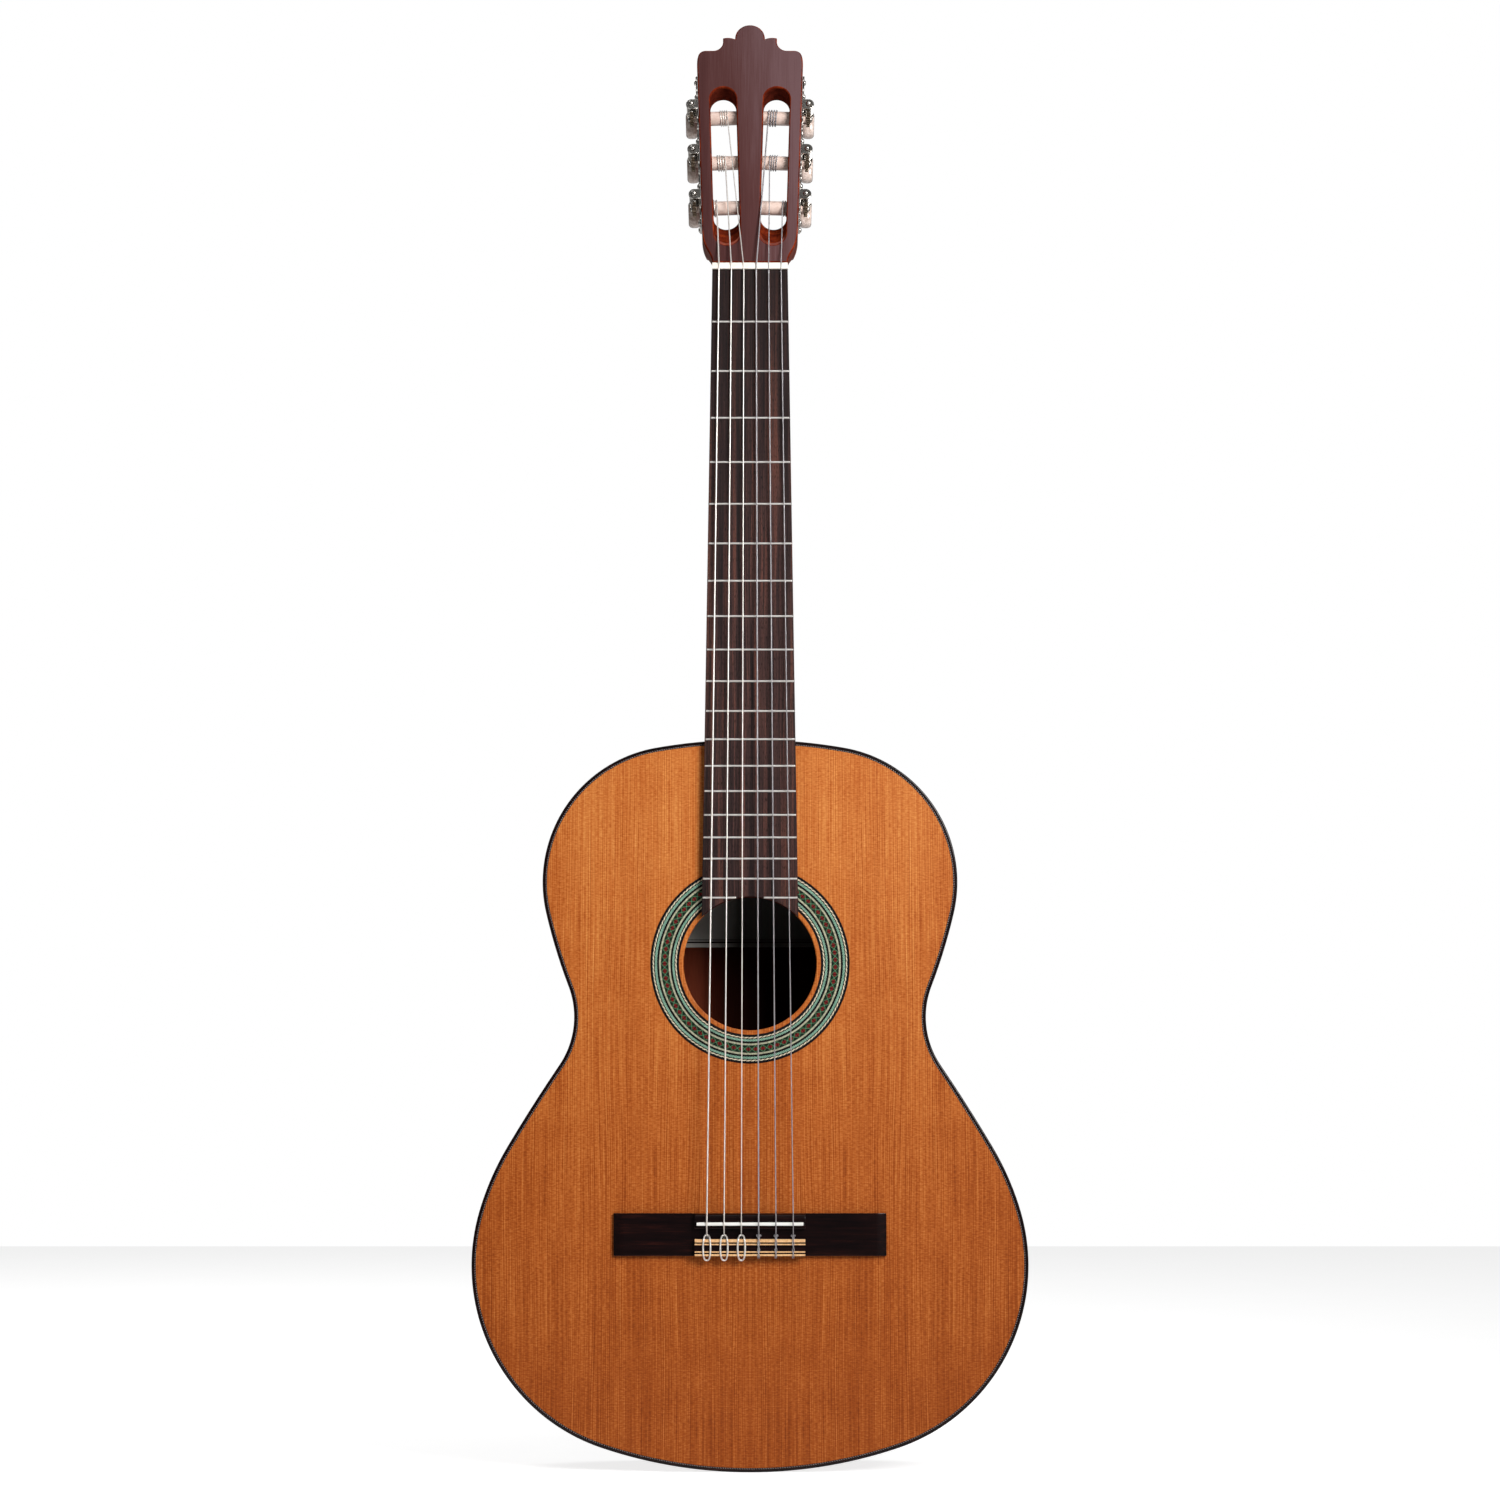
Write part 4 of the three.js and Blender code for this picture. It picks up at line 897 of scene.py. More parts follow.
def curved(points, steps=8):
    """A smooth path through the points, which it passes in order."""
    points = [Vector(p) for p in points]
    path = []
    for i in range(len(points) - 1):
        a, b, c, d = (points[max(min(i + k, len(points) - 1), 0)] for k in (-1, 0, 1, 2))
        for step in range(steps):
            t = step / steps
            square, cube = 2 * a - 5 * b + 4 * c - d, 3 * b - a - 3 * c + d
            path.append(0.5 * (2 * b + (c - a) * t + square * t**2 + cube * t**3))
    path.append(points[-1])
    return path


def held(mesh):
    """An object that holds a mesh while modifiers work on it."""
    holder = bpy.data.objects.new("held", mesh)
    bpy.context.scene.collection.objects.link(holder)
    return holder


def applied(holder, helpers=()):
    """The mesh that an object's modifiers make of it. The object and its helpers are then removed."""
    depsgraph = bpy.context.evaluated_depsgraph_get()
    made = bpy.data.meshes.new_from_object(holder.evaluated_get(depsgraph))
    for used in (holder, *helpers):
        bpy.data.objects.remove(used)
    return clean(made)


def boolean(mesh, tools, operation="DIFFERENCE"):
    """The mesh cut by, joined to or shared with each tool mesh in turn."""
    holder = held(mesh)
    helpers = [held(tool) for tool in tools]
    for helper in helpers:
        modifier = holder.modifiers.new("boolean", "BOOLEAN")
        modifier.operation = operation
        modifier.solver = "EXACT"
        modifier.object = helper
    return applied(holder, helpers)


def softened(mesh, width):
    """The mesh with its sharp edges rounded off."""
    holder = held(mesh)
    modifier = holder.modifiers.new("bevel", "BEVEL")
    modifier.width = width * MM
    modifier.segments = 2
    modifier.limit_method = "ANGLE"
    modifier.angle_limit = math.radians(32)
    return applied(holder)


def joined(meshes):
    """Several meshes as one, keeping their UVs."""
    work = bmesh.new()
    for mesh in meshes:
        work.from_mesh(mesh)
    made = bpy.data.meshes.new("joined")
    work.to_mesh(made)
    work.free()
    return shaded(made)


def piece(name, mesh, finish, body="root", slot=None, replaces=()):
    """Puts a mesh in the scene as a piece of the object. finish is one finish, or a list of them."""
    made = bpy.data.objects.new(name, mesh)
    mesh.name = name
    bpy.context.scene.collection.objects.link(made)
    made.modifiers.new("flat_faces_stay_flat", "WEIGHTED_NORMAL").keep_sharp = True
    chosen = [face.material_index for face in mesh.polygons]
    mesh.materials.clear()
    for each in [finish] if isinstance(finish, str) else finish:
        mesh.materials.append(FINISHES[each])
    mesh.polygons.foreach_set("material_index", chosen)
    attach(made, body)
    if replaces:
        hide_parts(*replaces)
    return made


def second_finish_where(mesh, test):
    """Gives a mesh's second finish to the faces that pass the test."""
    for face in mesh.polygons:
        face.material_index = 1 if test(face) else 0


def arc(cx, cz, radius, start, end, steps=12):
    """Points on an arc, from one angle in degrees to another."""
    turn = [math.radians(start + (end - start) * k / steps) for k in range(steps + 1)]
    return [(cx + radius * math.cos(a), cz + radius * math.sin(a)) for a in turn]


def bezier(p0, p1, p2, p3, steps=10):
    made = []
    for k in range(steps + 1):
        t = k / steps
        u = 1 - t
        weights = (u**3, 3 * u * u * t, 3 * u * t * t, t**3)
        made.append(tuple(sum(w * p[i] for w, p in zip(weights, (p0, p1, p2, p3))) for i in (0, 1)))
    return made


def circle(cx, cz, radius, steps=180):
    return arc(cx, cz, radius, 0, 360, steps)[:-1]


def mirrored(half):
    """A closed loop from half of it, which runs from the middle line round to the middle line."""
    return half + [(-x, z) for x, z in reversed(half) if abs(x) > 1e-6]


# ---------------------------------------------------------------- the body


def half_outline(inset):
    """Half of the outline inside the rim by inset, from the neck joint down the treble side to the tail."""
    x, z, heading = 0.0, OUTLINE_TOP - inset, 0.0
    points = [(x, z)]

    def follow(radius, turn):
        nonlocal x, z, heading
        cx, cz = x - radius * math.sin(heading), z - radius * math.cos(heading)
        step = 2 * math.acos(1 - FINE / abs(radius + inset))
        steps = math.ceil(turn / step)
        start = heading
        for k in range(1, steps + 1):
            heading = start + math.copysign(turn, radius) * k / steps
            x = cx + radius * math.sin(heading)
            z = cz + radius * math.cos(heading)
            points.append((x, z))

    for radius, degrees in OUTLINE_ARCS:
        follow(radius - inset, math.radians(degrees))
    follow(x / math.sin(heading), math.pi - heading)
    points[-1] = (0.0, points[-1][1])
    return points


def outline(inset):
    return mirrored(half_outline(inset))


def back_depth(x, z):
    """Depth of the back's outer face below the soundboard's face."""
    along = z - DOME_Z
    return DOME_DEPTH - DOME_RADIUS + math.sqrt(DOME_RADIUS**2 - x * x - along * along)


def make_soundboard():
    """The board, and the turned part whose channel holds the rosette and whose lip rounds into the hole."""
    board = plate([outline(PLATE_INSET), circle(0, HOLE_Z, ROSETTE_OUTER, 240)], 0, TOP_T)
    lip = 0.9
    channel = 1.05
    profile = [(ROSETTE_OUTER, TOP_T), (ROSETTE_OUTER, channel)]
    profile += [(ROSETTE_INNER, channel), (ROSETTE_INNER, 0.0)]
    for k in range(7):
        angle = math.pi / 2 * k / 6
        profile.append((HOLE_R + lip - lip * math.sin(angle), lip - lip * math.cos(angle)))
    profile += [(HOLE_R, TOP_T - 0.3), (HOLE_R + 0.3, TOP_T)]
    edge_ring = turned(profile, 240, Matrix.Translation((0, 0, HOLE_Z)))
    whole = joined([board, edge_ring])
    # Painted shade: the hole's wall under the fingerboard's end takes the dark slot_wall finish.
    second_finish_where(whole, painted_shade_under_board)
    piece("soundboard_top", whole, ["cedar", "slot_wall"], slot="cedar", replaces=["soundboard"])


def painted_shade_under_board(face):
    """True on the hole's wall where the fingerboard's end lies over it: painted shade, the board's shadow,
    darkens it there.
    """
    place = face.center / MM
    above = place.z - HOLE_Z
    return abs(place.x) < BOARD_JOINT_HALF and 0 < above and math.hypot(place.x, above) < HOLE_R + 1.2


def ring(inner, outer, front, depth, steps=240):
    return strip(circle(0, HOLE_Z, inner, steps), circle(0, HOLE_Z, outer, steps), front, depth)


# The rosette's rings from the outside in: outer radius and what fills the ring down to the next radius.
ROSETTE_RINGS = [
    (67.9, "black"),
    (66.2, "ring_rope"),
    (65.3, "black"),
    (64.7, "hatched"),
    (63.2, "black"),
    (61.8, "celadon"),
    (60.6, "mosaic"),
    (55.4, "celadon"),
    (54.2, "black"),
    (52.8, "hatched"),
    (51.4, "black"),
    (50.8, "ring_rope"),
    (49.9, "black"),
]


def make_rosette():
    edges = [radius for radius, kind in ROSETTE_RINGS] + [ROSETTE_INNER]
    for number, (radius, kind) in enumerate(ROSETTE_RINGS):
        inner = edges[number + 1]
        if kind == "mosaic":
            FINISHES["mosaic"] = mosaic_inlay(radius - inner)
        mesh = ring(inner, radius, 0.0, 1.0)
        replaced = ["rosette"] if number == 0 else []
        piece(f"rosette_ring_{number + 1}", mesh, kind, slot="mosaic", replaces=replaced)


def rounded_binding(front_of, sign):
    """A binding whose outer corner is rounded. front_of gives the face's depth and sign points inwards."""
    corner = 0.9
    section = [(BINDING_W, 0.0), (BINDING_W, BINDING_DEPTH), (0.0, BINDING_DEPTH)]
    for k in range(5):
        angle = math.pi / 2 * k / 4
        section.append((corner - corner * math.cos(angle), corner - corner * math.sin(angle)))
    rows = []
    for inset, depth in section:
        rows.append([(x, front_of(x, z) + sign * depth, z) for x, z in outline(inset)])
    return loft(list(zip(*rows)), loop=True)


def make_bindings():
    top = rounded_binding(lambda x, z: 0.0, 1)
    piece("binding_top", top, "black_rosewood", slot="rosewood", replaces=["top_binding"])
    back = rounded_binding(back_depth, -1)
    piece("binding_back", back, "black_rosewood", slot="rosewood", replaces=["back_binding"])
    for number, (low, high, kind) in enumerate(PURFLING):
        line = strip(outline(high), outline(low), 0.0, 1.5)
        piece(f"purfling_{number + 1}", line, kind, slot="mosaic")


def make_sides():
    """The bent ribs, from the neck's joint round to the tail."""
    for side, label in ((1, "treble"), (-1, "bass")):
        rings = []
        for outer, inner in zip(half_outline(0.0), half_outline(SIDE_T)):
            if outer[0] <= 8.3 and outer[1] >= HOLE_Z:
                continue
            ends = [back_depth(*point) - BINDING_DEPTH for point in (inner, outer)]
            depths = [BINDING_DEPTH, BINDING_DEPTH, *ends]
            corners = zip((outer, inner, inner, outer), depths)
            rings.append([(side * max(x, 0.05), depth, z) for (x, z), depth in corners])
        piece(f"rib_{label}", loft(rings), "bent_rosewood", slot="rosewood", replaces=[f"side_{label}"])


def make_back():
    """Two domed halves of book-matched rosewood with a fine strip let in between them."""
    across = 14
    half = [p for p in half_outline(BINDING_W) if p[0] > BACK_STRIP_HALF + 1]
    for side, label in ((1, "treble"), (-1, "bass")):
        rows = []
        for x_end, z in half:
            rows.append([(x_end * k / across, z) for k in range(across + 1)])
        points = []
        for lift in (0.0, BACK_T):
            points += [(side * x, back_depth(x, z) - lift, z) for row in rows for x, z in row]
        width = across + 1
        layer = len(rows) * width
        faces = []
        for i in range(len(rows) - 1):
            for k in range(across):
                a = i * width + k
                faces.append((a, a + 1, a + width + 1, a + width))
                faces.append((a + layer, a + width + layer, a + width + 1 + layer, a + 1 + layer))
            for k in (0, across):
                a = i * width + k
                faces.append((a, a + width, a + width + layer, a + layer))
        for i in (0, len(rows) - 1):
            for k in range(across):
                a = i * width + k
                faces.append((a, a + 1, a + 1 + layer, a + layer))
        mesh = mesh_from(points, faces)
        second_finish_where(mesh, lambda face: face.normal.y < -0.5)
        finishes = ["rosewood", "bare_rosewood"]
        piece(f"back_half_{label}", mesh, finishes, slot="rosewood", replaces=[f"back_{label}"])
    tail, top = OUTLINE_TAIL + BINDING_W, OUTLINE_TOP - BINDING_W
    line = 0.6
    steps = 60
    for name, low, high, kind in (
        ("bass_line", -BACK_STRIP_HALF, -BACK_STRIP_HALF + line, "cream"),
        ("middle", -BACK_STRIP_HALF + line, BACK_STRIP_HALF - line, "rope"),
        ("treble_line", BACK_STRIP_HALF - line, BACK_STRIP_HALF, "cream"),
    ):
        rings = []
        for k in range(steps + 1):
            z = tail + (top - tail) * k / steps
            y = back_depth(0, z) + 0.06
            rings.append([(low, y, z), (high, y, z), (high, y - 0.8, z), (low, y - 0.8, z)])
        piece(f"back_strip_{name}", loft(rings), kind, slot="mosaic")


def make_tail_strip():
    """The wedge that covers the joint of the two ribs at the tail, between two fine lines."""
    low, high = BINDING_DEPTH, back_depth(0, OUTLINE_TAIL) - BINDING_DEPTH
    z = OUTLINE_TAIL
    for name, left, right, kind in (
        ("wedge", -3.2, 3.2, "rosewood"),
        ("line_bass", -4.0, -3.2, "cream"),
        ("line_treble", 3.2, 4.0, "cream"),
    ):
        mesh = box((left, low, z - 0.12), (right, high, z + 0.6))
        piece(f"tail_{name}", mesh, kind, slot="rosewood" if kind == "rosewood" else "mosaic")


def make_label():
    """Glued to the back under the soundhole: a blank sheet with a double ruled border."""
    half, low, high = 52.0, -463.0, -412.0
    thickness = 0.3

    def sheet(left, right, bottom, top, lift, name, kind):
        steps = 10
        rings = []
        for k in range(steps + 1):
            z = bottom + (top - bottom) * k / steps
            front = [(x, back_depth(x, z) - BACK_T - 0.6 - lift, z) for x in (left, right)]
            rings.append(front + [(x, y + thickness, z) for x, y, z in reversed(front)])
        piece(name, loft(rings), kind)

    steps = 8
    for k in range(steps):
        left = -half + 2 * half * k / steps
        sheet(left, left + 2 * half / steps, low, high, 0.0, f"label_{k + 1}", "label_paper")
    for number, (margin, width) in enumerate(((3.0, 0.9), (5.0, 0.4))):
        left, right, bottom, top = -half + margin, half - margin, low + margin, high - margin
        lift = 1.0
        sheet(left, right, bottom, bottom + width, lift, f"label_rule_low_{number}", "ink")
        sheet(left, right, top - width, top, lift, f"label_rule_high_{number}", "ink")
        sheet(left, left + width, bottom, top, lift, f"label_rule_bass_{number}", "ink")
        sheet(right - width, right, bottom, top, lift, f"label_rule_treble_{number}", "ink")


# ---------------------------------------------------------------- neck, fingerboard, nut


def board_half(z):
    return BOARD_NUT_HALF + (BOARD_JOINT_HALF - BOARD_NUT_HALF) * z / JOINT_Z


def signed_power(value, power):
    return math.copysign(abs(value) ** power, value)


def neck_section(z, half, depth, power=0.85, steps=28):
    """A section with its flat side under the fingerboard: half round, and squarer with a lower power."""
    points = []
    for k in range(steps + 1):
        angle = math.pi * k / steps
        x = half * signed_power(math.cos(angle), power)
        points.append((x, 0.1 + depth * signed_power(math.sin(angle), power), z))
    return points


def heel_section(y, steps=28):
    """The heel's section at a depth: it narrows towards the cap as a keel does."""
    reach = 19 + 46 * math.exp(-(y - 8) / 10)
    half = 10.5 + 20.3 * math.exp(-max(0.0, y - 10) / 30)
    points = []
    for k in range(steps + 1):
        angle = math.pi * k / steps
        x = half * signed_power(math.cos(angle), 0.9)
        points.append((x, y, OUTLINE_TOP + 0.3 + reach * math.sin(angle) ** 1.1))
    return points


HEEL_END = edge("heel_cap", 0, "y") - 0.1


def make_neck():
    """Shaft, heel and throat as one, the foot that is glued inside the body, and the heel's cap."""
    start, body_face = 5.0, OUTLINE_TOP + 0.3
    rings = []
    stations = 24
    for i in range(stations + 1):
        share = i / stations
        z = start + (body_face - start) * share
        depth = NECK_DEPTH + (HEEL_DEPTH - NECK_DEPTH) * share
        rings.append(neck_section(z, min(board_half(z), BOARD_JOINT_HALF), depth))
    shaft = loft(rings)
    depths = [4 + (HEEL_END - 4) * (k / 30) ** 1.6 for k in range(31)]
    heel = loft([heel_section(y) for y in depths])
    mesh = boolean(shaft, [heel, neck_throat()], "UNION")
    foot = box((-30, TOP_T + 0.2, OUTLINE_TOP - 27), (30, 92, OUTLINE_TOP - 4), 0.6)
    toe = box((-30, 79, OUTLINE_TOP - 59), (30, 94, OUTLINE_TOP - 26), 0.6)
    piece("neck_shaft", mesh, "mahogany", slot="mahogany", replaces=["neck"])
    piece("neck_foot", joined([foot, toe]), "mahogany", slot="mahogany")
    cap = loft([heel_section(HEEL_END + 0.1), heel_section(HEEL_END + 2.6)])
    piece("heel_cap_plate", softened(cap, 0.5), "rosewood", slot="rosewood", replaces=["heel_cap"])


def neck_throat():
    """Behind the nut the neck's round back swells into the flat back and square sides of the head."""
    first, last = -8.0, HEAD_FOOT + 2.0
    on_head = HEAD_MATRIX @ Matrix.Translation((0, HEAD_PLATE_T - 0.05, 0))
    # Where a section is placed, where that frame begins, the section's height in it and half its width.
    stations = [(Matrix.Identity(4), 0.0, z, board_half(z) - 0.05) for z in (first, -5.0, -2.0)]
    stations += [(on_head, HEAD_START, z, head_half(z)) for z in (2.5, 5.0, 7.5, 10.0, HEAD_FOOT, last)]
    start_depth, end_depth = NECK_DEPTH - 0.1, HEAD_T - HEAD_PLATE_T - 0.1
    rings = []
    for place, origin, z, half in stations:
        share = (z + origin - first) / (last + HEAD_START - first)
        share = share * share * (3 - 2 * share)
        depth = start_depth + (end_depth - start_depth) * share
        section = neck_section(z, half, depth, 0.85 - 0.67 * share)
        rings.append([place @ Vector(point) for point in section])
    return loft(rings)


def head_half(z):
    """Half the head's width near its foot."""
    return next(x for x, height in bezier(*FLARE, 48) if height >= z) - 0.05


def make_fingerboard():
    """The board ends in an arc at the soundhole, which parts the last fret in two."""
    reach = math.degrees(math.acos(board_half(BOARD_END_Z) / BOARD_END_R))
    lip = arc(0, HOLE_Z, BOARD_END_R, reach, 90, 20)
    corner_z = lip[0][1]
    half = [(0.0, 0.0), (BOARD_NUT_HALF, 0.0), (board_half(corner_z), corner_z), *lip[1:-1]]
    loop = mirrored([*half, (0.0, HOLE_Z + BOARD_END_R)])
    mesh = plate([loop], -BOARD_T, BOARD_T - 0.05, 0.35)
    piece("fretboard", mesh, "board_wood", slot="fingerboard_wood", replaces=["fingerboard"])
    for number in range(1, FRET_COUNT + 1):
        z = -SCALE * (1 - 2 ** (-number / 12))
        end = board_half(z) - 0.35
        spans = {"": (-end, end)}
        if z < HOLE_Z + BOARD_END_R:
            gap = math.sqrt(BOARD_END_R**2 - (z - HOLE_Z) ** 2) + 0.4
            spans = {"_bass": (-end, -gap), "_treble": (gap, end)}
        for label, (left, right) in spans.items():
            piece(f"fret_{number}{label}", fret(left, right, z), "fret_wire", slot="nickel")


def fret(left, right, z):
    """One fret: a domed crown whose ends are rounded over."""
    rings = []
    inset = [(0.0, 0.3), (0.25, 0.75), (0.7, 1.0)]
    places = [(left + d, s) for d, s in inset] + [(right - d, s) for d, s in reversed(inset)]
    for x, share in places:
        points = []
        for k in range(9):
            angle = math.pi * k / 8
            y = -BOARD_T + 0.3 - (0.3 + 1.0 * share) * math.sin(angle)
            points.append((x, y, z + FRET_HALF * (0.6 + 0.4 * share) * math.cos(angle)))
        rings.append(points)
    return loft(rings)


def make_nut():
    """Rounded over on top, and notched for the strings."""
    top = NUT_TOP - 0.55
    profile = [(0.1, 0.0), (0.1, top + 0.5), (0.4, top + 0.1), (0.9, top), (1.7, top + 0.1)]
    profile += [(NUT_BACK_Z - 0.6, NUT_TOP + 1.5), (NUT_BACK_Z, NUT_TOP + 2.2), (NUT_BACK_Z, 0.0)]
    half = BOARD_NUT_HALF
    mesh = softened(loft([[(x, y, z) for z, y in profile] for x in (-half, half)]), 0.3)
    tools = []
    for i, radius in enumerate(STRING_RADII):
        lying = Matrix.Rotation(math.pi / 2, 4, "X")
        place = Matrix.Translation((nut_x(i), NUT_TOP - radius - STRING_LIFT, 0)) @ lying
        r = radius + 0.06
        tools.append(turned([(0, -12), (r, -12), (r, 12), (0, 12)], 16, place))
    piece("nut_bone", boolean(mesh, tools), "bone", slot="bone", replaces=["nut"])


# ---------------------------------------------------------------- bridge and saddle


def saddle_x(i):
    return (i - 2.5) * SADDLE_PITCH


def nut_x(i):
    return (i - 2.5) * NUT_PITCH


def make_bridge():
    """Wings with rolled ends, a ridge that holds the saddle, and the block that the strings tie to."""
    end, roll = BRIDGE_HALF, 7.0
    wing = [(-end, -0.05), (-end, -2.6)]
    wing += bezier((-end, -2.6), (-end + 2, -3.6), (-end + 5, -4.1), (-end + roll, WING_TOP))[1:]
    wing += [(-x, y) for x, y in reversed(wing)]
    wings = softened(loft([[(x, y, z) for x, y in wing] for z in (BRIDGE_FRONT, BRIDGE_REAR)]), 0.4)
    half = SADDLE_T / 2 + 0.08
    ridge_rear = -656.4
    ridge = [(BRIDGE_FRONT, -0.1), (BRIDGE_FRONT, BLOCK_TOP + 3)]
    nose = ((BRIDGE_FRONT, BLOCK_TOP + 3), (-646.8, BLOCK_TOP + 1), (-648, BLOCK_TOP), (-650.4, BLOCK_TOP))
    ridge += bezier(*nose)[1:]
    ridge += [(SADDLE_Z + half, BLOCK_TOP), (SADDLE_Z + half, -4.4), (SADDLE_Z - half, -4.4)]
    ridge += [(SADDLE_Z - half, BLOCK_TOP), (ridge_rear, BLOCK_TOP), (ridge_rear, -0.1)]
    saddle_block = softened(loft([[(x, y, z) for z, y in ridge] for x in (-BLOCK_HALF, BLOCK_HALF)]), 0.3)
    upright = Matrix(((1, 0, 0, 0), (0, 0, 1, 0), (0, 1, 0, BRIDGE_REAR), (0, 0, 0, 1)))
    rim = [(-BLOCK_HALF, -0.1), (BLOCK_HALF, -0.1), (BLOCK_HALF, BLOCK_TOP), (-BLOCK_HALF, BLOCK_TOP)]
    holes = [circle(saddle_x(i), TIE_HOLE_Y, 0.95, 24) for i in range(6)]
    tie_block = plate([rim, *holes], 0, TIE_FRONT - BRIDGE_REAR, 0.3, upright)
    piece(
        "bridge_block",
        boolean(wings, [saddle_block, tie_block], "UNION"),
        "black_rosewood",
        slot="rosewood",
        replaces=["bridge"],
    )
    inlays = [
        ("front_wide", -665.5, TIE_FRONT - 0.2),
        ("front_thin", -667.4, -666.5),
        ("rear_thin", -672.4, -671.5),
        ("rear_wide", BRIDGE_REAR + 0.1, -673.4),
    ]
    for name, low, high in inlays:
        end = BLOCK_HALF - 0.05
        inlay = box((-end, BLOCK_TOP - 0.12, low), (end, BLOCK_TOP + 1, high), 0.08)
        piece(f"tie_inlay_{name}", inlay, "strip_cream", slot="mosaic")
    crown = SADDLE_T / 2
    foot = -4.6
    section = [(SADDLE_Z - crown, foot)]
    for k in range(9):
        angle = math.pi * k / 8
        section.append((SADDLE_Z - crown * math.cos(angle), SADDLE_TOP + 0.7 - 0.7 * math.sin(angle)))
    section += [(SADDLE_Z + crown, foot)]
    saddle = loft([[(x, y, z) for z, y in section] for x in (-36, 36)])
    piece("saddle_bone", softened(saddle, 0.25), "saddle_bone", slot="bone", replaces=["saddle"])


# ---------------------------------------------------------------- head


def head_loop(low_z):
    """The head's outline from the front, in its own frame: flare, flank, shoulder, cove, horn and dome."""
    half = [(0.0, low_z), (26.0, low_z)]
    half += bezier(*FLARE, 16)
    half += bezier(FLANK["high"], (37.6, 162), (36, 165.4), (31, 165.6), 16)
    half += arc(26, 172.6, 7, -90, -180, 14)
    half += bezier((19, 175.4), (16.3, 176.2), (13.5, 176.0), (10.5, 174.8), 8)
    half += arc(0, 175.4, 10.5, 0, 90, 16)[1:]
    half[-1] = (0.0, half[-1][1])
    return mirrored(half)


def slot_at(y, which):
    """A slot's outline at a depth. Its foot slopes, so that the strings run clear down to the rollers."""
    share = y / HEAD_T
    foot = [a + (b - a) * share for a, b in zip(SLOT_FRONT_FOOT, SLOT_BACK_FOOT)]
    loop = arc(*SLOT_TOP, 0, 180, 20) + arc(*foot, 180, 360, 20)
    return [(which * x, z) for x, z in loop]


def flank_matrix(row, which):
    """From a machine's own frame on the head's flank to the head's frame."""
    (low_x, low_z), (high_x, high_z) = FLANK["low"], FLANK["high"]
    z = MIDDLE_ROW_Z + row * ROW_PITCH
    x = low_x + (high_x - low_x) * (z - low_z) / (high_z - low_z)
    turn = math.atan2(high_x - low_x, high_z - low_z)
    mirror = Matrix.Scale(-1, 4, (1, 0, 0)) if which < 0 else Matrix.Identity(4)
    return mirror @ Matrix.Translation((x, 0, z)) @ Matrix.Rotation(turn, 4, "Y")


def make_head():
    core = head_core_mesh()
    piece("head_core", core, ["mahogany", "slot_wall", "sanded_edge"], slot="mahogany", replaces=["neck"])
    loops = [head_loop(0.8), slot_at(0, 1), slot_at(0, -1)]
    face = plate(loops, 0, HEAD_PLATE_T, 1.2, bevel_back=0.0, steps=6)
    second_finish_where(face, lambda f: f.normal.y > -0.93)
    face.transform(scaled(HEAD_MATRIX))
    piece("head_veneer", face, ["head_face", "sanded_edge"], slot="head_face", replaces=["head_plate"])


def head_core_mesh():
    """The head's wood behind its veneer, with the slots and the bores for the string rollers."""
    rows = [(HEAD_PLATE_T + 0.05, 0.0)]
    rows += [(HEAD_T - drop, inset) for drop, inset in reversed(rounded_edge(1.2, 4))]
    layers = []
    for y, inset in rows:
        loops = [head_loop(-8), slot_at(y, 1), slot_at(y, -1)]
        layers.append((y, [drawn_in(wound_for_hole(loop, i > 0), inset) for i, loop in enumerate(loops)]))
    core = stacked(layers)
    bores = []
    radius = ROLLER_R + 0.35
    for which in (1, -1):
        for row in (-1, 0, 1):
            place = flank_matrix(row, which) @ Matrix.Translation((0, AXIS_Y, 0)) @ AXIS_ALONG_X
            bores.append(turned([(0, -29.5), (radius, -29.5), (radius, 4), (0, 4)], 40, place))
    below_foot = box((-40, -5, -20), (40, 30, HEAD_FOOT))
    core = boolean(core, [*bores, below_foot])
    core.transform(scaled(HEAD_MATRIX))
    under_board = box((-40, -40, -60), (40, 0.1, NUT_BACK_Z))
    core = boolean(core, [under_board])
    to_head = scaled(HEAD_MATRIX).inverted()
    for face in core.polygons:
        face.material_index = slot_finish(to_head @ face.center / MM, to_head.to_3x3() @ face.normal)
    return core


def slot_finish(place, normal):
    """0 for the outside of the head, 1 for the walls of its slots and 2 for their sloping feet."""
    beside_middle = 3 < abs(place.x) < 30
    along_slot = HEAD_FOOT < place.z < SLOT_TOP[1] + SLOT_TOP[2] + 1
    faces_sideways = abs(normal.y) <= 0.9
    if not (beside_middle and along_slot and faces_sideways):
        return 0
    return 2 if place.z < 50 and normal.z > 0.1 else 1


# ---------------------------------------------------------------- tuning machines


BUTTON_START, BUTTON_END = 27.0, 41.0  # along the worm's shaft


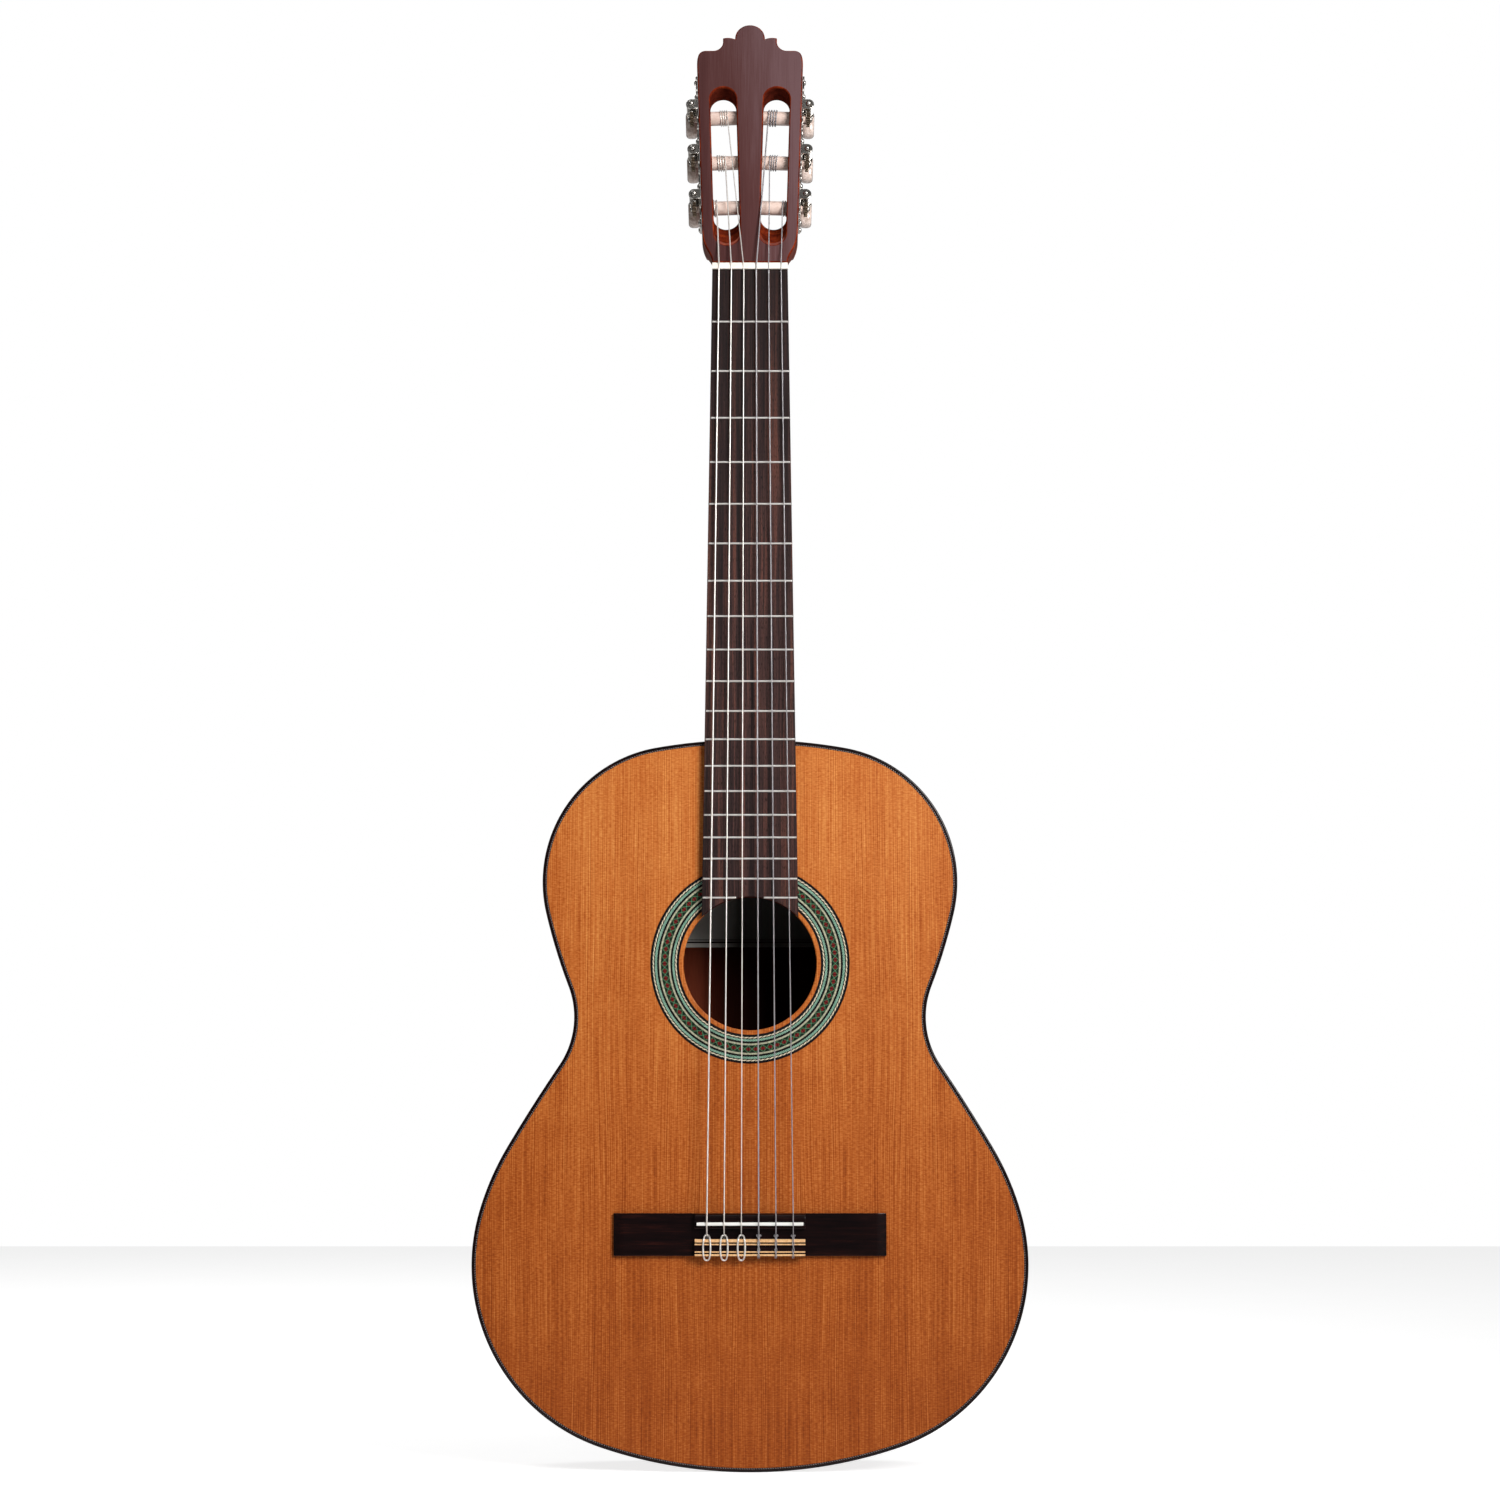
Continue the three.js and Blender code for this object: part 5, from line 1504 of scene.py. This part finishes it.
def machine_plate_mesh():
    """A decorated side plate, its edges cut in scallops between the bearings."""
    low, high = -ROW_PITCH - 17, ROW_PITCH + 32
    front, back = AXIS_Y - 7.6, AXIS_Y + 7.6
    depth = 1.5

    def edge_at(z):
        """How far the edge draws in at a height."""
        wave = abs(math.sin(math.pi * (z - low) / 8.75))
        return depth * (1 - wave**0.6)

    steps = 96
    straight = [low + 5 + (high - 15 - low - 5) * k / steps for k in range(steps + 1)]
    loop = [(front + 3, low), (back - 3, low), (back - 0.6, low + 1.6)]
    loop += [(back - edge_at(z), z) for z in straight]
    right, left = AXIS_Y + 2.5, AXIS_Y - 2.5
    loop += bezier((back, high - 14), (back, high - 8), (back - 6, high - 7), (right, high), 10)[1:]
    loop += bezier((right, high), (AXIS_Y + 1.2, high + 2), (AXIS_Y - 1.2, high + 2), (left, high), 6)[1:]
    loop += bezier((left, high), (front + 6, high - 7), (front, high - 8), (front, high - 14), 10)[1:]
    loop += [(front + edge_at(z), z) for z in reversed(straight)]
    loop += [(front + 0.6, low + 1.6)]
    holes = [circle(AXIS_Y, row * ROW_PITCH, 2.7, 32) for row in (-1, 0, 1)]
    return plate([loop, *holes], 0.1, 1.2, 0.25, SWAP_X_AND_Y)


def lug_mesh(y):
    """One bearing ear, with the bore that the worm's shaft turns in."""
    half = 3.7
    loop = [(0.2, WORM_RISE - half)] + arc(GEAR_X, WORM_RISE, half, -90, 90, 20) + [(0.2, WORM_RISE + half)]
    return plate([loop, circle(GEAR_X, WORM_RISE, 1.6, 32)], y, 2.0, 0.35)


def screw_mesh(radius, height):
    """A domed screw head with a slot, its foot at the origin and its axis along X."""
    profile = [(0, -0.4), (radius, -0.4), (radius, 0.2 * height)]
    profile += [(radius * math.cos(a), height * (0.2 + 0.8 * math.sin(a))) for a in (0.5, 0.9, 1.2)]
    profile += [(0, height)]
    dome = turned(profile, 28)
    slot_cut = box((-radius * 1.2, height * 0.55, -0.16), (radius * 1.2, height * 2, 0.16))
    cut_head = boolean(dome, [slot_cut])
    cut_head.transform(AXIS_ALONG_X)
    return cut_head


def both_flanks(half):
    """A tooth's outline, from one side of it as (radius, offset) pairs: tip first, foot last."""
    return [(radius, -offset) for radius, offset in reversed(half)] + half


def gear_mesh():
    """Fourteen teeth with rounded tips and a boss. A tooth points straight up at the worm."""
    root, tip = 4.15, 5.4
    pitch = math.tau / GEAR_TEETH
    loop = []
    tooth = both_flanks([(tip, 0.05), (tip - 0.15, 0.12), (root + 0.5, 0.2), (root, 0.30)])
    for k in range(GEAR_TEETH):
        for radius, share in tooth:
            angle = (k + share) * pitch
            loop.append((AXIS_Y + radius * math.sin(angle), radius * math.cos(angle)))
    disc = plate([loop], GEAR_X - 1.2, 2.4, 0.12, SWAP_X_AND_Y)
    place = Matrix.Translation((GEAR_X + 1.2, AXIS_Y, 0))
    boss = turned([(0, -0.1), (2.9, -0.1), (2.9, 0.25), (2.5, 0.5), (0, 0.5)], 32, place @ AXIS_ALONG_X)
    return joined([disc, boss])


def worm_mesh():
    """A real thread, cut one tooth of the gear to a turn, on a shaft with collars and a domed end."""
    lead = math.tau * GEAR_PITCH_R / GEAR_TEETH
    turns, per_turn = 4, 28
    root, tip = 1.95, 3.25
    tooth = both_flanks([(tip, 0.14), (tip - 0.2, 0.26), (root - 0.3, 0.62)])
    rings = []
    for k in range(turns * per_turn + 1):
        turn = k / per_turn - turns / 2
        angle = math.tau * (turn - 0.5)
        y = AXIS_Y + turn * lead
        points = []
        for radius, shift in tooth:
            x, z = GEAR_X - radius * math.sin(angle), WORM_RISE - radius * math.cos(angle)
            points.append((x, y + shift, z))
        rings.append(points)
    thread = loft(rings)
    half = turns / 2 * lead + 0.6
    near = BUTTON_START
    profile = [(0, -0.9), (0.8, -0.75), (1.5, -0.3), (1.85, 0.4), (1.7, 1.1), (1.25, 1.5)]
    profile += [(1.25, AXIS_Y - half - 1.0), (2.6, AXIS_Y - half - 0.9), (2.6, AXIS_Y - half)]
    profile += [(root, AXIS_Y - half), (root, AXIS_Y + half)]
    profile += [(2.6, AXIS_Y + half), (2.6, AXIS_Y + half + 0.9), (1.25, AXIS_Y + half + 1.0)]
    profile += [(1.25, near - 6.5), (2.0, near - 6.0), (2.0, near - 4.8), (1.5, near - 4.0)]
    profile += [(2.2, near - 3.0), (3.1, near - 2.2), (3.0, near - 1.4), (2.2, near - 0.3)]
    profile += [(1.25, near - 0.3), (1.25, near + 7), (0, near + 7)]
    shaft = turned(profile, 32, Matrix.Translation((GEAR_X, 0, WORM_RISE)))
    return joined([thread, shaft])


def button_mesh():
    """An oval button, fuller in the middle."""
    middle, deep = (BUTTON_START + BUTTON_END) / 2, (BUTTON_END - BUTTON_START) / 2
    wide, thick = 9.5, 4.3
    rings = []
    count = 48
    for k in range(13):
        tilt = -math.pi / 2 + math.pi * (k + 0.5) / 13
        share = 0.62 + 0.38 * math.cos(tilt) ** 0.7
        x = GEAR_X + thick * signed_power(math.sin(tilt), 0.75)
        ring_points = []
        for j in range(count):
            angle = math.tau * j / count
            y = middle + share * deep * signed_power(math.cos(angle), 0.8)
            z = WORM_RISE + share * wide * signed_power(math.sin(angle), 0.8)
            ring_points.append((x, y, z))
        rings.append(ring_points)
    return loft(rings)


def roller_mesh():
    """The string roller: a barrel with softened ends and the stepped spindle that carries its gear."""
    inner, outer = -29.0, -0.3
    profile = [(0, inner), (4.5, inner), (4.9, inner + 0.4), (4.9, outer - 0.4), (4.6, outer)]
    profile += [(2.4, outer), (2.4, 3.2), (1.4, 3.3), (1.4, 7.0), (1.0, 7.2), (0, 7.2)]
    place = Matrix.Translation((0, AXIS_Y, 0)) @ AXIS_ALONG_X
    return turned(profile, 48, place)


def place_in(mesh, matrix):
    """A copy of a mesh made in a machine's frame, put where that machine is."""
    copy = mesh.copy()
    return clean(copy, scaled(matrix))


def make_machines():
    side_plate = machine_plate_mesh()
    lugs = joined([lug_mesh(1.6), lug_mesh(17.4)])
    plate_screw, gear_screw = screw_mesh(1.9, 1.1), screw_mesh(1.7, 1.2)
    # Name of the piece, its mesh, its finish, its body and the node that it replaces.
    turning = [
        ("thread", worm_mesh(), "nickel", "tuner", "worm"),
        ("knob", button_mesh(), "pearl", "tuner", "button"),
        ("wheel", gear_mesh(), "brass", "string_roller", "gear"),
        ("barrel", roller_mesh(), "barrel", "string_roller", "roller"),
    ]
    for which, label in ((1, "treble"), (-1, "bass")):
        middle = HEAD_MATRIX @ flank_matrix(0, which)
        parts = [side_plate.copy()]
        for row in (-1, 0, 1):
            parts.append(moved(lugs, Matrix.Translation((0, 0, row * ROW_PITCH))))
        plate_mesh = place_in(joined(parts), middle)
        replaced = [f"machine_plate_{label}"]
        piece(f"side_plate_{label}", plate_mesh, "nickel", slot="nickel", replaces=replaced)
        places = [(4.9, -ROW_PITCH - 13.5), (16.1, -ROW_PITCH - 13.5), (AXIS_Y, -17.5), (AXIS_Y, 17.5)]
        places += [(AXIS_Y, ROW_PITCH + 17.5), (AXIS_Y, ROW_PITCH + 28.5)]
        for number, (y, z) in enumerate(places):
            mesh = place_in(plate_screw, middle @ Matrix.Translation((1.3, y, z)))
            piece(f"plate_screw_{label}_{number + 1}", mesh, "nickel", slot="nickel")
        for row in (1, 0, -1):
            number = 2 + row if which > 0 else 5 - row
            place = middle @ Matrix.Translation((0, 0, row * ROW_PITCH))
            for name, mesh, finish, body, node in turning:
                made = place_in(mesh, place)
                piece(f"{name}_{number}", made, finish, f"{body}_{number}", finish, [f"{node}_{number}"])
            top = place @ Matrix.Translation((GEAR_X + 1.7, AXIS_Y, 0))
            screw = place_in(gear_screw, top)
            piece(f"gear_screw_{number}", screw, "nickel", f"string_roller_{number}", "nickel")


def moved(mesh, matrix):
    copy = mesh.copy()
    copy.transform(scaled(matrix))
    return copy


# ---------------------------------------------------------------- strings


def make_strings():
    """Each string's straight wire, its turns round the roller and its tie at the bridge."""
    for i in range(6):
        number = 6 - i
        radius = STRING_RADII[i]
        lift = radius + STRING_LIFT
        finish = "wound" if i < 3 else "nylon"
        which = -1 if i < 3 else 1
        row = STRING_ROWS[i]
        roller_z = MIDDLE_ROW_Z + row * ROW_PITCH
        x = saddle_x(i)
        meet = HEAD_MATRIX @ Vector((which * ROLLER_X[i], AXIS_Y - ROLLER_R - lift, roller_z))
        over_saddle = [
            (x, TIE_HOLE_Y, BRIDGE_REAR - 0.6),
            (x, TIE_HOLE_Y, TIE_FRONT),
            (x, TIE_HOLE_Y - 0.5, TIE_FRONT + 1.2),
            (x, SADDLE_TOP - lift + 0.9, SADDLE_Z - SADDLE_T / 2 - 0.6),
            (x, SADDLE_TOP - lift, SADDLE_Z),
        ]
        nut = Vector((nut_x(i), NUT_TOP - lift, NUT_CROWN_Z))
        saddle = Vector(over_saddle[-1])
        straight = [saddle.lerp(nut, share) for share in (0.02, 0.5, 0.995)]
        path = curved(over_saddle, 6) + straight + [nut] + [nut.lerp(meet, s) for s in (0.02, 0.5, 1.0)]
        mesh = tube(path, radius)
        piece(f"wire_{number}", mesh, finish, slot=finish, replaces=[f"string_{number}"])
        coil = coil_mesh(i, which, row, radius)
        piece(f"coil_{number}", coil, finish, f"string_roller_{number}", finish)
        tie = bass_tie(x, radius) if i < 3 else treble_tie(x, radius)
        piece(f"tie_{number}", tie, finish, slot=finish)


def coil_mesh(i, which, row, radius):
    """The string's turns round its roller, and the tail that sticks out of the last one."""
    place = flank_matrix(row, which)
    start = place.inverted() @ Vector((which * ROLLER_X[i], AXIS_Y, MIDDLE_ROW_Z + row * ROW_PITCH))
    wrap = ROLLER_R + radius + 0.05
    turns = 3.2
    pitch = 2 * radius + 0.8
    steps = 36
    path = []
    for k in range(int(turns * steps) + 1):
        angle = math.tau * k / steps
        path.append((start.x + pitch * k / steps, AXIS_Y - wrap * math.cos(angle), wrap * math.sin(angle)))
    x, y, z = path[-1]
    path += [(x + 0.5, y + 0.4, z - 2.0), (x + 1.1, y + 0.6, z - 4.5), (x + 2.2, y + 0.2, z - 6.5)]
    return tube(path, radius, 10, HEAD_MATRIX @ place)


def bass_tie(x, radius):
    """A wound string's tie: an oval loop that lies over the tie block and dips at both ends."""
    middle_z, half_z, half_x = -669.2, 8.4, 2.5
    top = BLOCK_TOP - radius - 0.15
    steps = 64
    path = []
    for k in range(steps + 1):
        angle = math.tau * (k / steps) + 0.4
        z = middle_z + half_z * math.sin(angle)
        across = half_x * signed_power(math.cos(angle), 0.6)
        dip = 0.0
        if z > TIE_FRONT - 0.4:
            dip = 1.0 * (z - TIE_FRONT + 0.4)
        if z < BRIDGE_REAR + 0.4:
            dip = 0.9 * (BRIDGE_REAR + 0.4 - z)
        path.append((x + across, top + dip, z))
    return tube(path, 0.62, 10)


def treble_tie(x, radius):
    """A nylon string's tie: a small knot before the block, and a twisted tail that lies over it."""
    top = BLOCK_TOP - 2 * radius - 0.2
    front, rear = TIE_FRONT + 1.6, BRIDGE_REAR - 1.3
    strands = []
    for phase in (0.0, math.pi):
        path = []
        steps = 40
        for k in range(steps + 1):
            share = k / steps
            z = front + (rear - front) * share
            angle = phase + math.tau * 1.6 * share
            dip = 2.2 * max(0.0, 1 - k / 5) ** 2 + 2.2 * max(0.0, (k - steps + 5) / 5) ** 2
            path.append((x + 0.55 * math.cos(angle), top + dip + 0.4 * math.sin(angle), z))
        strands.append(tube(path, radius * 0.85, 10))
    knot = []
    knot_y, knot_z = -7.2, front + 0.4
    for k in range(33):
        angle = math.tau * k / 32
        y, z = knot_y - 1.1 * math.sin(angle), knot_z + 0.5 * math.sin(2 * angle)
        knot.append((x + 1.3 * math.cos(angle), y, z))
    return joined([*strands, tube(knot, radius, 10)])


# ---------------------------------------------------------------- what stays from the frame


def finish_inner_parts():
    """The bars, struts, linings and tail block keep their CAD shapes and take their woods."""
    inner = {"tail_block": "mahogany", "top_lining": "spruce", "back_lining": "spruce"}
    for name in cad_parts:
        if "_bar_" in name or name.startswith("fan_strut"):
            inner[name] = "spruce"
    for name, finish in inner.items():
        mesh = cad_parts[name].data
        mesh.materials.clear()
        mesh.materials.append(FINISHES[finish])


make_camera()
make_studio()
make_floor()
make_soundboard()
make_rosette()
make_bindings()
make_sides()
make_back()
make_tail_strip()
make_label()
make_neck()
make_fingerboard()
make_nut()
make_bridge()
make_head()
make_machines()
make_strings()
finish_inner_parts()
